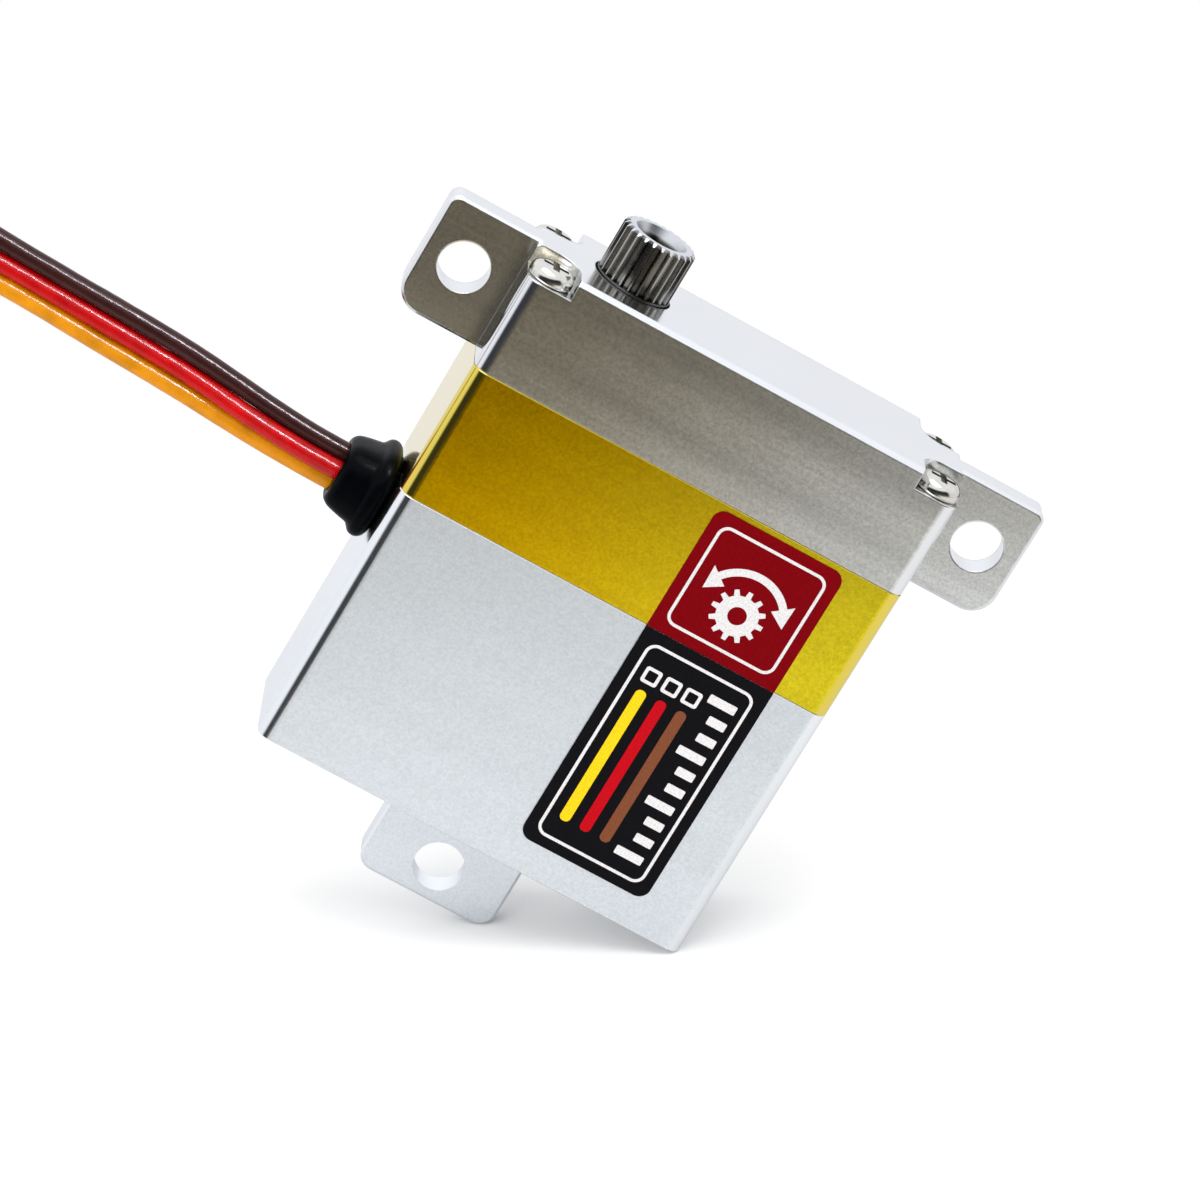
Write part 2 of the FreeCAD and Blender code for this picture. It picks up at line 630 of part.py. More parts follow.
def ball_bearing(name, bore_r, outer_r, z, ring_thick, balls):
    """Four nodes: outer ring, inner ring, balls and cage."""
    pitch_r = (bore_r + outer_r) / 2
    middle_z = (z[0] + z[1]) / 2
    groove = Part.makeTorus(pitch_r, GROOVE_R, V(0, 0, middle_z))
    outer = tube(0, 0, z[0], z[1], outer_r, outer_r - ring_thick).cut(groove)
    inner = tube(0, 0, z[0], z[1], bore_r + ring_thick, bore_r).cut(groove)
    cage = tube(0, 0, middle_z - CAGE_HALF_HEIGHT, middle_z + CAGE_HALF_HEIGHT,
                pitch_r + CAGE_HALF_THICK, pitch_r - CAGE_HALF_THICK)
    solids = []
    for n in range(balls):
        angle = 2 * math.pi * n / balls
        spot = V(pitch_r * math.cos(angle), pitch_r * math.sin(angle), middle_z)
        solids.append(Part.makeSphere(BALL_R, spot))
        radial = V(math.cos(angle), math.sin(angle), 0)
        pocket_start = spot - radial * 2 * CAGE_HALF_THICK
        cage = cage.cut(Part.makeCylinder(CAGE_POCKET_R, 4 * CAGE_HALF_THICK, pocket_start, radial))
    return {
        name + "_outer_ring": outer,
        name + "_inner_ring": inner,
        name + "_balls": group(solids),
        name + "_cage": cage,
    }


# ---------------------------------------------------------------- motor
def motor():
    x = AXIS_M_X
    inner_r = MOTOR_R - MOTOR_SHELL
    plate_z = MOTOR_TOP_Z - MOTOR_TOP_PLATE
    can = merged([
        tube(x, 0, MOTOR_FOOT_Z, MOTOR_TOP_Z, MOTOR_R, inner_r),
        cylinder(x, 0, plate_z, MOTOR_TOP_Z, MOTOR_R),
        cylinder(x, 0, MOTOR_TOP_Z, MOTOR_BOSS_Z, MOTOR_BOSS_R),
    ])
    can = can.cut(cylinder(x, 0, plate_z, MOTOR_BOSS_Z, MOTOR_BOSS_HOLE_R))
    magnet = tube(x, 0, MAGNET_Z[0], MAGNET_Z[1], MAGNET_R, MOTOR_BOSS_HOLE_R)
    bushes = []
    for top_z in (MOTOR_BOSS_Z, MAGNET_Z[0] + BUSH_LENGTH):
        bushes.append(tube(x, 0, top_z - BUSH_LENGTH, top_z, MOTOR_BOSS_HOLE_R, BUSH_BORE_R))
    hub = cylinder(x, 0, HUB_Z[0], HUB_Z[1], WINDING_R[1])
    shaft = cylinder(x, 0, MOTOR_SHAFT_Z[0], MOTOR_SHAFT_Z[1], MOTOR_SHAFT_R)
    commutator = cylinder(x, 0, COMMUTATOR_Z[0], COMMUTATOR_Z[1], COMMUTATOR_R)
    winding = tube(x, 0, WINDING_Z[0], WINDING_Z[1], WINDING_R[1], WINDING_R[0])
    pinion = toothed_disc(MODULE_1, MOTOR_TEETH, *MOTOR_PINION_Z, x, facing_left(MOTOR_TEETH))
    pinion = pinion.cut(cylinder(x, 0, *MOTOR_PINION_Z, MOTOR_SHAFT_R))
    return {
        "motor_can": can,
        "motor_magnet": magnet,
        "motor_bushes": group(bushes),
        "motor_rotor": merged([shaft, hub, commutator]),
        "motor_winding": winding,
        "motor_pinion": pinion,
        "motor_end_cap": motor_end_cap(x, inner_r),
        "motor_brushes": motor_brushes(x),
    }


def motor_end_cap(x, inner_r):
    """Plastic cup that closes the motor and carries the brushes."""
    low, high = END_CAP_Z
    cap = cylinder(x, 0, low, MOTOR_FOOT_Z, MOTOR_R)
    cap = merged([cap, tube(x, 0, MOTOR_FOOT_Z, high, inner_r, inner_r - WALL)])
    for brush in motor_brushes(x).Solids:
        cap = cap.cut(brush)
    return cap


def motor_brushes(x):
    """Two leaf springs that run from the end cap's floor up beside the commutator."""
    leaves = []
    near = COMMUTATOR_R + BRUSH_GAP
    for sign in (-1, 1):
        ys = sorted((sign * near, sign * (near + BRUSH_THICK)))
        leaves.append(box((x - LEAD_R, x + LEAD_R), ys, (lead_z() + LEAD_R, COMMUTATOR_Z[1] - END_GAP)))
    return group(leaves)


# ---------------------------------------------------------------- feedback sensor and board
def feedback_sensor():
    low, high = SENSOR_Z
    shell = cylinder(0, 0, low, high, SENSOR_R)
    shell = shell.cut(cylinder(0, 0, low + SENSOR_SHELL, high - SENSOR_SHELL, SENSOR_R - SENSOR_SHELL))
    shell = shell.cut(cylinder(0, 0, high - SENSOR_SHELL, high, SENSOR_MOUTH_R))
    pins = sensor_pins()
    for pin in pins.Solids:
        shell = shell.cut(pin)
    track_z = (low + SENSOR_SHELL, low + SENSOR_SHELL + TRACK_THICK)
    track = tube(0, 0, track_z[0], track_z[1], TRACK_R[1], TRACK_R[0])
    wedge = Part.makeCylinder(SENSOR_R, TRACK_THICK, V(0, 0, track_z[0]), Z_AXIS, TRACK_GAP_DEG)
    track = track.cut(wedge)
    rotor = cylinder(0, 0, *SENSOR_ROTOR_Z, SENSOR_ROTOR_R)
    wiper_z = (track_z[1] + BRUSH_GAP, SENSOR_ROTOR_Z[0])
    wiper_x = (WIPER_WIDTH / 2 - SENSOR_ROTOR_R, -TRACK_R[0])
    wiper = box(wiper_x, (-WIPER_WIDTH / 2, WIPER_WIDTH / 2), wiper_z)
    foot = cylinder(0, 0, SHAFT_FOOT_Z, SENSOR_Z[1], SHAFT_FOOT_R)
    foot = foot.cut(box((SHAFT_FLAT, SHAFT_FOOT_R), (-SHAFT_FOOT_R, SHAFT_FOOT_R),
                        (SHAFT_FOOT_Z, SENSOR_Z[1])))
    return {
        "sensor_body": shell,
        "sensor_track": track,
        "sensor_wiper": merged([rotor, wiper]).cut(foot),
        "sensor_pins": pins,
    }


def sensor_pins():
    pins = []
    for y in (-SENSOR_PIN_PITCH, 0.0, SENSOR_PIN_PITCH):
        pins.append(box((BOARD_X[1], -SENSOR_R + SENSOR_SHELL), (y - SENSOR_PIN / 2, y + SENSOR_PIN / 2),
                        (SENSOR_PIN_Z - SENSOR_PIN / 2, SENSOR_PIN_Z + SENSOR_PIN / 2)))
    return group(pins)


def wire_rows():
    """Each wire's y and height where it passes the grommet, and its row counted from the middle wire."""
    rows = {}
    for name, step in (("wire_brown", 1), ("wire_red", 0), ("wire_orange", -1)):
        rows[name] = (stagger(step), GROMMET_Z + step * WIRE_PITCH, step)
    return rows


def stagger(step):
    return WIRE_STAGGER / 2 if step else -WIRE_STAGGER / 2


def circuit_board():
    board = merged([
        box(BOARD_X, (-BOARD_HALF_WIDTH, BOARD_HALF_WIDTH), BOARD_Z),
        box(BOARD_X, (-TONGUE_HALF_WIDTH, TONGUE_HALF_WIDTH), (BOARD_Z[1], TONGUE_TOP_Z)),
    ])
    thick = BOARD_X[1] - BOARD_X[0]
    for y, height, _ in wire_rows().values():
        board = board.cut(Part.makeCylinder(PAD_R, thick, V(BOARD_X[0], y, height), X_AXIS))
    return board


def board_chips():
    """Controller and four power transistors on the board's inner face."""
    x = (BOARD_X[1], BOARD_X[1] + CHIP_THICK)
    chips = [box(x, (-CONTROLLER_HALF_WIDTH, CONTROLLER_HALF_WIDTH), CONTROLLER_Z)]
    half_y = TRANSISTOR_SIZE[0] / 2
    half_z = TRANSISTOR_SIZE[1] / 2
    for row in range(2):
        for sign in (-1, 1):
            y = sign * TRANSISTOR_PITCH[0] / 2
            z = TRANSISTOR_TOP_Z - row * TRANSISTOR_PITCH[1]
            chips.append(box(x, (y - half_y, y + half_y), (z - half_z, z + half_z)))
    return group(chips)


def board_capacitor():
    z = BOARD_Z[1] - CAPACITOR_R - CAPACITOR_GAP
    x = BOARD_X[1] + CHIP_THICK + CAPACITOR_R + CAPACITOR_GAP
    return Part.makeCylinder(CAPACITOR_R, CAPACITOR_LENGTH, V(x, -CAPACITOR_LENGTH / 2, z), Y_AXIS)


def lead_z():
    return BOTTOM_Z + FLOOR + LEAD_R + END_GAP


def motor_leads():
    """Two thin leads along the case floor, from the board to the motor's brushes."""
    x0 = BOARD_X[1] + BRUSH_GAP
    length = AXIS_M_X + LEAD_R - x0
    leads = []
    for sign in (-1, 1):
        leads.append(Part.makeCylinder(LEAD_R, length, V(x0, sign * LEAD_Y, lead_z()), X_AXIS))
    return group(leads)


# ---------------------------------------------------------------- lead
def soft_block(x, half_y, half_z, radius):
    """A block along X about the grommet's centre line, with rounded long edges."""
    block = box(x, (-half_y, half_y), (GROMMET_Z - half_z, GROMMET_Z + half_z))
    long_edges = [e for e in block.Edges if abs(e.BoundBox.XLength - (x[1] - x[0])) < 1e-4]
    return block.makeFillet(radius, long_edges)


def cable_grommet():
    flange_x = (LEFT_X - GROMMET_FLANGE[0], LEFT_X)
    boot_x = (flange_x[0] - GROMMET_BOOT[0], flange_x[0])
    wall_x = (LEFT_X, LEFT_X + WALL)
    lip_x = (wall_x[1], wall_x[1] + GROMMET_LIP[0])
    neck_half = GROMMET_SLOT_HALF_WIDTH - GROMMET_NECK_GAP
    neck_z = (GROMMET_SLOT_Z + GROMMET_NECK_GAP, LOW_SEAM_Z - GROMMET_NECK_GAP)
    lip_half = GROMMET_LIP[1] / 2
    lip_z = (LOW_SEAM_Z - GROMMET_NECK_GAP - GROMMET_LIP[2], LOW_SEAM_Z - GROMMET_NECK_GAP)
    rubber = merged([
        soft_block(flange_x, GROMMET_FLANGE[1] / 2, GROMMET_FLANGE[2] / 2, FLANGE_ROUND),
        soft_block(boot_x, GROMMET_BOOT[1] / 2, GROMMET_BOOT[2] / 2, BOOT_ROUND),
        box(wall_x, (-neck_half, neck_half), neck_z),
        box(lip_x, (-lip_half, lip_half), lip_z),
    ])
    for y, height, _ in wire_rows().values():
        length = lip_x[1] - boot_x[0]
        rubber = rubber.cut(Part.makeCylinder(WIRE_HOLE_R, length, V(boot_x[0], y, height), X_AXIS))
    return rubber


def wire(y, height, step):
    """One insulated wire, from its tinned end in the board to its end in the plug."""
    start_x = BOARD_X[0] - CONTACT_GAP
    straight_x = LEFT_X - GROMMET_FLANGE[0] - GROMMET_BOOT[0] - WIRE_STRAIGHT
    entry = V(PLUG_X[1] + PLUG_ENTRY, plug_centre().y, plug_centre().z + step * PLUG_PITCH)
    stops = [V(straight_x, y, height)]
    for distance, drift, rise, pitch, kept in WIRE_STOPS:
        stops.append(V(straight_x - distance, drift + kept * y, GROMMET_Z + rise + step * pitch))
    stops.append(entry)
    curve = Part.BSplineCurve()
    curve.interpolate(Points=stops, InitialTangent=V(-1, 0, 0), FinalTangent=V(-1, 0, 0))
    pipe = Part.BRepOffsetAPI.MakePipeShell(Part.Wire([curve.toShape()]))
    pipe.setBiNormalMode(Z_AXIS)
    pipe.add(Part.Wire([Part.makeCircle(WIRE_R, stops[0], X_AXIS)]))
    pipe.build()
    pipe.makeSolid()
    swept = pipe.shape()
    inside = Part.makeCylinder(WIRE_R, start_x - straight_x, stops[0], X_AXIS)
    tip = Part.makeCylinder(CORE_R, BOARD_X[1] - start_x, V(start_x, y, height), X_AXIS)
    tail = Part.makeCylinder(WIRE_R, entry.x - WIRE_END_X, V(WIRE_END_X, entry.y, entry.z), X_AXIS)
    return merged([swept, inside, tip, tail])


def plug_centre():
    return V(0, PLUG_DRIFT_Y, GROMMET_Z + PLUG_DRIFT_Z)


def plug_housing():
    """Three-way socket housing, with a wire hole, a square mouth and a latch window for each contact."""
    c = plug_centre()
    front_y = c.y - PLUG_HALF_WIDTH
    shell = box(PLUG_X, (front_y, c.y + PLUG_HALF_WIDTH), (c.z - PLUG_HALF_HEIGHT, c.z + PLUG_HALF_HEIGHT))
    shell = shell.makeChamfer(PLUG_KEY, [e for e in plug_edges(shell) if e.BoundBox.YMin < c.y])
    shell = shell.makeFillet(PLUG_ROUND, [e for e in plug_edges(shell) if e.BoundBox.YMin > c.y])
    depth = PLUG_X[1] - WIRE_END_X + CONTACT_GAP
    mouth_depth, mouth_half = PLUG_MOUTH
    mouth_x = (PLUG_X[0], PLUG_X[0] + mouth_depth)
    for z in contact_heights():
        start = V(WIRE_END_X - CONTACT_GAP, c.y, z)
        shell = shell.cut(Part.makeCylinder(PLUG_HOLE_R, depth, start, X_AXIS))
        shell = shell.cut(contact_block(z))
        mouth = box(mouth_x, (c.y - mouth_half, c.y + mouth_half), (z - mouth_half, z + mouth_half))
        shell = shell.cut(mouth).cut(latch_window(z, front_y))
    return shell


def plug_edges(shell):
    return [e for e in shell.Edges if abs(e.BoundBox.XLength - (PLUG_X[1] - PLUG_X[0])) < 1e-4]


def contact_heights():
    return [plug_centre().z + step * PLUG_PITCH for step in (-1, 0, 1)]


def latch_window(z, front_y):
    """A window through to the contact, less the tongue that reaches into it from the wire end."""
    deep_y = plug_centre().y - CONTACT[1] / 2
    window = box(LATCH_X, (front_y, deep_y), (z - LATCH_HALF_WIDTH, z + LATCH_HALF_WIDTH))
    length, half_width, thick = TONGUE
    tongue = box((LATCH_X[1] - length, LATCH_X[1]), (front_y, front_y + thick),
                 (z - half_width, z + half_width))
    return window.cut(tongue)


def contact_block(z):
    c = plug_centre()
    x1 = WIRE_END_X - CONTACT_GAP
    size_x, size_y, size_z = CONTACT
    return box((x1 - size_x, x1), (c.y - size_y / 2, c.y + size_y / 2), (z - size_z / 2, z + size_z / 2))


def plug_contacts():
    """Square tubes, closed at the wire end."""
    c = plug_centre()
    half = CONTACT_BORE / 2
    open_x = (WIRE_END_X - PLUG_ENTRY - CONTACT[0], WIRE_END_X - PLUG_ENTRY)
    contacts = []
    for z in contact_heights():
        bore = box(open_x, (c.y - half, c.y + half), (z - half, z + half))
        contacts.append(contact_block(z).cut(bore))
    return group(contacts)


# ---------------------------------------------------------------- labels
def labels():
    """Two stickers on the front face, one above the other."""
    y = (-HALF_THICK - LABEL_THICK, -HALF_THICK)
    r = LABEL_ROUND
    return {
        "upper_label": rounded_plate(LABEL_X, y, UPPER_LABEL_Z, (0, 0, r, r)),
        "lower_label": rounded_plate(LABEL_X, y, LOWER_LABEL_Z, (r, r, 0, 0)),
    }


def build():
    nodes = {
        "top_case": top_case(),
        "middle_case": middle_case(),
        "lower_case": lower_case(),
        "case_screws": group([case_screw(x, y) for x, y, _, _ in corners()]),
        "output_shaft": output_shaft(),
        "output_gear": output_gear(),
        "circuit_board": circuit_board(),
        "board_chips": board_chips(),
        "board_capacitor": board_capacitor(),
        "motor_leads": motor_leads(),
        "cable_grommet": cable_grommet(),
        "plug_housing": plug_housing(),
        "plug_contacts": plug_contacts(),
    }
    nodes.update(ball_bearing("upper_bearing", JOURNAL_R, UPPER_BEARING_R, UPPER_BEARING_Z,
                              RING_THICK, UPPER_BALLS))
    nodes.update(ball_bearing("lower_bearing", SHAFT_FOOT_R, LOWER_BEARING_R, LOWER_BEARING_Z,
                              LOWER_RING_THICK, LOWER_BALLS))
    nodes.update(gear_train())
    nodes.update(motor())
    nodes.update(feedback_sensor())
    nodes.update(labels())
    for name, row in wire_rows().items():
        nodes[name] = wire(*row)
    return nodes


os.makedirs("parts", exist_ok=True)
for name, shape in build().items():
    shape.exportStep("parts/" + name + ".step")
    print(name, shape.isValid(), len(shape.Solids), round(shape.Volume, 2))
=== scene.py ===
import json
import math

import bmesh
import bpy
from mathutils import Matrix, Vector, noise

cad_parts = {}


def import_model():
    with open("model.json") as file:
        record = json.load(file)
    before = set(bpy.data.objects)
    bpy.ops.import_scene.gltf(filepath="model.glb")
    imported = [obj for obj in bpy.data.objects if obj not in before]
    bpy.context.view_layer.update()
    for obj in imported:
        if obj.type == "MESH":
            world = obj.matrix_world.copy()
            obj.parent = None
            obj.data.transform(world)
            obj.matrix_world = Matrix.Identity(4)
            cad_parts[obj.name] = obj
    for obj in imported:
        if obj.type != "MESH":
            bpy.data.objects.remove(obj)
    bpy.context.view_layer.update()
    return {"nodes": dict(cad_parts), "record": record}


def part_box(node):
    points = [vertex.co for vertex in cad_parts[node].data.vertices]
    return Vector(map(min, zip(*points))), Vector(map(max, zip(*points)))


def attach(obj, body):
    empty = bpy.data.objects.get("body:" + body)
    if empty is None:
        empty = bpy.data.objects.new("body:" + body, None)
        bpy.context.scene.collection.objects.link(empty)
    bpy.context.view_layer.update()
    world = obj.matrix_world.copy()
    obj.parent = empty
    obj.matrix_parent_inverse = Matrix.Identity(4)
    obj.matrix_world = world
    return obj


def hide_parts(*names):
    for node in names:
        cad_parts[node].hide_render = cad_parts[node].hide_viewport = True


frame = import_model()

MM = 0.001
X_AXIS = Vector((1, 0, 0))
Y_AXIS = Vector((0, 1, 0))
Z_AXIS = Vector((0, 0, 1))

# ---- places taken from the frame ----
SPLINE_SPAN = 1.5 * MM        # the part of the shaft below its end that holds only spline
CENTRE_DROP = 0.6 * MM        # the scene's centre below the middle section
CASE_LOW, CASE_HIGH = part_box("middle_case")
GROMMET_LOW, GROMMET_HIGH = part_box("cable_grommet")
SHAFT_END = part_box("output_shaft")[1].z
SPLINE_TIP = max(v.co.xy.length for v in frame["nodes"]["output_shaft"].data.vertices
                 if v.co.z > SHAFT_END - SPLINE_SPAN)
CASE_CENTRE = Vector(((CASE_LOW.x + CASE_HIGH.x) / 2, 0, CASE_LOW.z - CENTRE_DROP))

# ---- camera ----
CAMERA_AZIMUTH = math.radians(-10.1)
CAMERA_ELEVATION = math.radians(18.26)
CAMERA_ROLL = math.radians(31.41)
CAMERA_DISTANCE = 373.4 * MM
CAMERA_SHIFT = Vector((-0.14, -0.31, -1.01)) * MM
CAMERA_LENS = 180.8
CAMERA_CLIP = (10 * MM, 10.0)
CAMERA_SENSOR = 36.0


# ---------------------------------------------------------------- node trees
NOISE_RANGE = (0.3, 0.7)      # holds nearly all of a noise texture's values
EDGE_SAMPLES = 8
WEAR_START = 0.98             # agreement of true and rounded normal where an edge's wear begins


def new_material(name):
    material = bpy.data.materials.new(name)
    material.use_nodes = True
    material.node_tree.nodes.clear()
    return material, material.node_tree


def add(tree, kind, inputs=None, **settings):
    """A new node. Each input is a value, or another node's output to link."""
    made = tree.nodes.new(kind)
    for key, value in settings.items():
        setattr(made, key, value)
    for key, value in (inputs or {}).items():
        if isinstance(value, bpy.types.NodeSocket):
            tree.links.new(value, made.inputs[key])
        else:
            made.inputs[key].default_value = value
    return made


def colour(rgb):
    return (rgb[0], rgb[1], rgb[2], 1.0)


def place(tree, scale=(1, 1, 1)):
    """Position in the frame in millimetres, stretched by scale."""
    source = add(tree, "ShaderNodeTexCoord").outputs["Object"]
    factor = [s / MM for s in scale]
    return add(tree, "ShaderNodeMapping", {"Vector": source, "Scale": factor}).outputs["Vector"]


def grain(tree, scale, stretch=(1, 1, 1), detail=3.0):
    """Noise with scale features per millimetre."""
    inputs = {"Vector": place(tree, stretch), "Scale": scale, "Detail": detail}
    return add(tree, "ShaderNodeTexNoise", inputs).outputs["Fac"]


def remap(tree, value, span, to, smooth=False):
    """A value with one span stretched to another. A smooth one also stays within it."""
    made = add(tree, "ShaderNodeMapRange", {
        "Value": value, "From Min": span[0], "From Max": span[1], "To Min": to[0], "To Max": to[1],
    }, interpolation_type="SMOOTHSTEP" if smooth else "LINEAR", clamp=smooth)
    return made.outputs["Result"]


def spread(tree, noise_value, low, high):
    """A noise texture's value, run from low to high."""
    return remap(tree, noise_value, NOISE_RANGE, (low, high))


def ramp(tree, value, start, end, low=0.0, high=1.0):
    """A smooth step, low before start and high after end."""
    return remap(tree, value, (start, end), (low, high), smooth=True)


def math_node(tree, operation, a, b=0.0):
    return add(tree, "ShaderNodeMath", {0: a, 1: b}, operation=operation).outputs[0]


def times(tree, a, b):
    return math_node(tree, "MULTIPLY", a, b)


def larger(tree, a, b):
    return math_node(tree, "MAXIMUM", a, b)


def rest_of_one(tree, value):
    return math_node(tree, "SUBTRACT", 1.0, value)


def vector_node(tree, operation, inputs, output="Vector"):
    return add(tree, "ShaderNodeVectorMath", inputs, operation=operation).outputs[output]


def axis_part(tree, vector, axis):
    """How far a vector points along an axis."""
    return vector_node(tree, "DOT_PRODUCT", {0: vector, 1: tuple(axis)}, "Value")


def scaled(tree, rgb, factor):
    """A colour times a varying factor."""
    return vector_node(tree, "SCALE", {0: rgb, "Scale": factor})


def mix_colour(tree, factor, a, b):
    made = add(tree, "ShaderNodeMix", {"Factor": factor}, data_type="RGBA")
    for index, value in ((6, a), (7, b)):
        if isinstance(value, bpy.types.NodeSocket):
            tree.links.new(value, made.inputs[index])
        else:
            made.inputs[index].default_value = colour(value)
    return made.outputs[2]


def mix_value(tree, factor, a, b):
    made = add(tree, "ShaderNodeMix", {"Factor": factor, "A": a, "B": b}, data_type="FLOAT")
    return made.outputs["Result"]


def surface_normal(tree):
    return add(tree, "ShaderNodeNewGeometry").outputs["Normal"]


def soft_edges(tree, radius):
    return add(tree, "ShaderNodeBevel", {"Radius": radius}, samples=EDGE_SAMPLES).outputs["Normal"]


def bump(tree, height, distance, strength, normal=None):
    inputs = {"Height": height, "Distance": distance, "Strength": strength}
    if normal is not None:
        inputs["Normal"] = normal
    return add(tree, "ShaderNodeBump", inputs).outputs["Normal"]


def worn_edges(tree, radius, sharpest):
    """1 along sharp edges, 0 on flats."""
    agreement = {0: surface_normal(tree), 1: soft_edges(tree, radius)}
    return ramp(tree, vector_node(tree, "DOT_PRODUCT", agreement, "Value"), WEAR_START, sharpest)


def finish_shader(tree, inputs):
    shader = add(tree, "ShaderNodeBsdfPrincipled", inputs)
    add(tree, "ShaderNodeOutputMaterial", {"Surface": shader.outputs["BSDF"]})


# ---------------------------------------------------------------- case metal
SHARP_EDGE = 0.03             # mm, edge radius that shows as a fine line
EDGE_RISE = (0.4, 0.8)        # mm above the middle section over which the top edges' radius sets in
CREASE_CLEAR = (0.12, 0.3)    # mm from an end wall's plane over which an ear's crease ends
BROAD_FACE = (0.97, 0.999)    # share of the normal along Y from which a surface is a broad face
TOP_FACE = (0.9, 0.99)        # share of the normal along Z from which it is the top face
TOP_ROUGH = 0.2
TOP_RELIEF = 0.3              # the top face's grain beside the broad faces'
STREAK_STRETCH = (0.04, 3.0, 3.0)
BAND_STRETCH = (0.02, 0.45, 0.45)
BAND_RANGE = (0.35, 0.65)
SPECK_SCALE = 6.5
CLOUD_SCALE = 0.16
CLOUD_SHADE = (0.99, 1.01)
CLOUD_ROUGH = (0.96, 1.04)
STREAK_RELIEF = 6
SPECK_RELIEF = 3
METAL_RELIEF = 0.002 * MM
CASE_BUMP = 0.6
# Paler colour along sharp case edges: real edge wear and a painted edge highlight.
PALE_CASE_EDGE_WEAR_AND_HIGHLIGHT = (0.86, 0.86, 0.87)
CASE_WEAR = 0.35
CASE_WEAR_EDGE = (0.06 * MM, 0.86)    # radius, and agreement of normals at full wear
CASE_COAT = {"Coat Roughness": 0.12, "Coat IOR": 1.6}


def edge_rounding(tree, position, top_edge):
    """Edge radius: sharp round the lower sections and where an ear meets the case, top_edge elsewhere."""
    middle = (CASE_LOW.x + CASE_HIGH.x) / 2 / MM
    half = (CASE_HIGH.x - CASE_LOW.x) / 2 / MM
    section_top = CASE_HIGH.z / MM
    above = ramp(tree, axis_part(tree, position, Z_AXIS), *(section_top + rise for rise in EDGE_RISE))
    across = math_node(tree, "SUBTRACT", axis_part(tree, position, X_AXIS), middle)
    beside = math_node(tree, "SUBTRACT", math_node(tree, "ABSOLUTE", across), half)
    clear = ramp(tree, math_node(tree, "ABSOLUTE", beside), *CREASE_CLEAR)
    return mix_value(tree, times(tree, above, clear), SHARP_EDGE * MM, top_edge * MM)


def case_metal(name, tones, face_rough, wall_rough, streaks, speckle, coat=0.0, top_edge=SHARP_EDGE):
    """Machined case metal: grained broad faces with streaks along X, smoother edges and end walls.

    tones are the broad faces' colour at each end along X, and the other surfaces' colour; the run from end to
    end and the walls' tone are painted reflection.
    """
    left, right, wall = tones
    material, tree = new_material(name)
    normal = surface_normal(tree)
    face = ramp(tree, math_node(tree, "ABSOLUTE", axis_part(tree, normal, Y_AXIS)), *BROAD_FACE)
    upward = ramp(tree, axis_part(tree, normal, Z_AXIS), *TOP_FACE)
    lines = grain(tree, 1.0, STREAK_STRETCH, 4.0)
    bands = grain(tree, 1.0, BAND_STRETCH, 2.0)
    specks = grain(tree, SPECK_SCALE, detail=2.0)
    cloud = grain(tree, CLOUD_SCALE, detail=2.0)

    shade = times(tree, spread(tree, lines, 1 - streaks, 1 + streaks),
                  remap(tree, bands, BAND_RANGE, (1 - streaks, 1 + streaks)))
    shade = times(tree, shade, spread(tree, specks, 1 - speckle, 1 + speckle))
    shade = mix_value(tree, face, 1.0, shade)
    shade = times(tree, shade, spread(tree, cloud, *CLOUD_SHADE))
    position = place(tree)
    # Painted reflection: the broad faces' tone runs from the left end's to the right end's along X, and edges
    # and end walls take the wall tone.
    across = ramp(tree, axis_part(tree, position, X_AXIS), CASE_LOW.x / MM, CASE_HIGH.x / MM)
    base = mix_colour(tree, face, wall, mix_colour(tree, across, left, right))
    base = scaled(tree, base, shade)
    # Paler sharp edges: real edge wear and a painted edge highlight.
    edge = worn_edges(tree, *CASE_WEAR_EDGE)
    base = mix_colour(tree, times(tree, edge, CASE_WEAR), base, PALE_CASE_EDGE_WEAR_AND_HIGHLIGHT)

    rough = mix_value(tree, face, mix_value(tree, upward, wall_rough, TOP_ROUGH), face_rough)
    rough = times(tree, rough, spread(tree, cloud, *CLOUD_ROUGH))
    relief = math_node(tree, "ADD", times(tree, lines, streaks * STREAK_RELIEF),
                       times(tree, specks, speckle * SPECK_RELIEF))
    relief = times(tree, relief, larger(tree, face, times(tree, upward, TOP_RELIEF)))
    rounded = soft_edges(tree, edge_rounding(tree, position, top_edge))
    finish_shader(tree, {
        "Base Color": base, "Metallic": 1.0, "Roughness": rough,
        "Normal": bump(tree, relief, METAL_RELIEF, CASE_BUMP, rounded),
        "Coat Weight": times(tree, rest_of_one(tree, face), coat), **CASE_COAT,
    })
    return material


# ---------------------------------------------------------------- small metal pieces
MARK_SCALE = 4.0
MARK_ROUGH = (0.75, 1.3)      # of the piece's roughness
TARNISH_SCALE = 0.8
TARNISH_SHADE = (0.88, 1.1)
WORN_STEEL = (0.9, 0.9, 0.88)
STEEL_WEAR = 0.4
STEEL_WEAR_EDGE = (SHARP_EDGE * MM, 0.85)
STEEL_BUMP = 0.5


def turned_metal(name, rgb, rough, stretch=(1, 1, 1)):
    """Small machined or ground steel and brass pieces."""
    material, tree = new_material(name)
    marks = grain(tree, MARK_SCALE, stretch, 4.0)
    tarnish = grain(tree, TARNISH_SCALE)
    base = scaled(tree, rgb, spread(tree, tarnish, *TARNISH_SHADE))
    edge = worn_edges(tree, *STEEL_WEAR_EDGE)
    base = mix_colour(tree, times(tree, edge, STEEL_WEAR), base, WORN_STEEL)
    finish_shader(tree, {
        "Base Color": base, "Metallic": 1.0,
        "Normal": bump(tree, marks, METAL_RELIEF, STEEL_BUMP, soft_edges(tree, SHARP_EDGE * MM)),
        "Roughness": spread(tree, marks, *(rough * share for share in MARK_ROUGH)),
    })
    return material


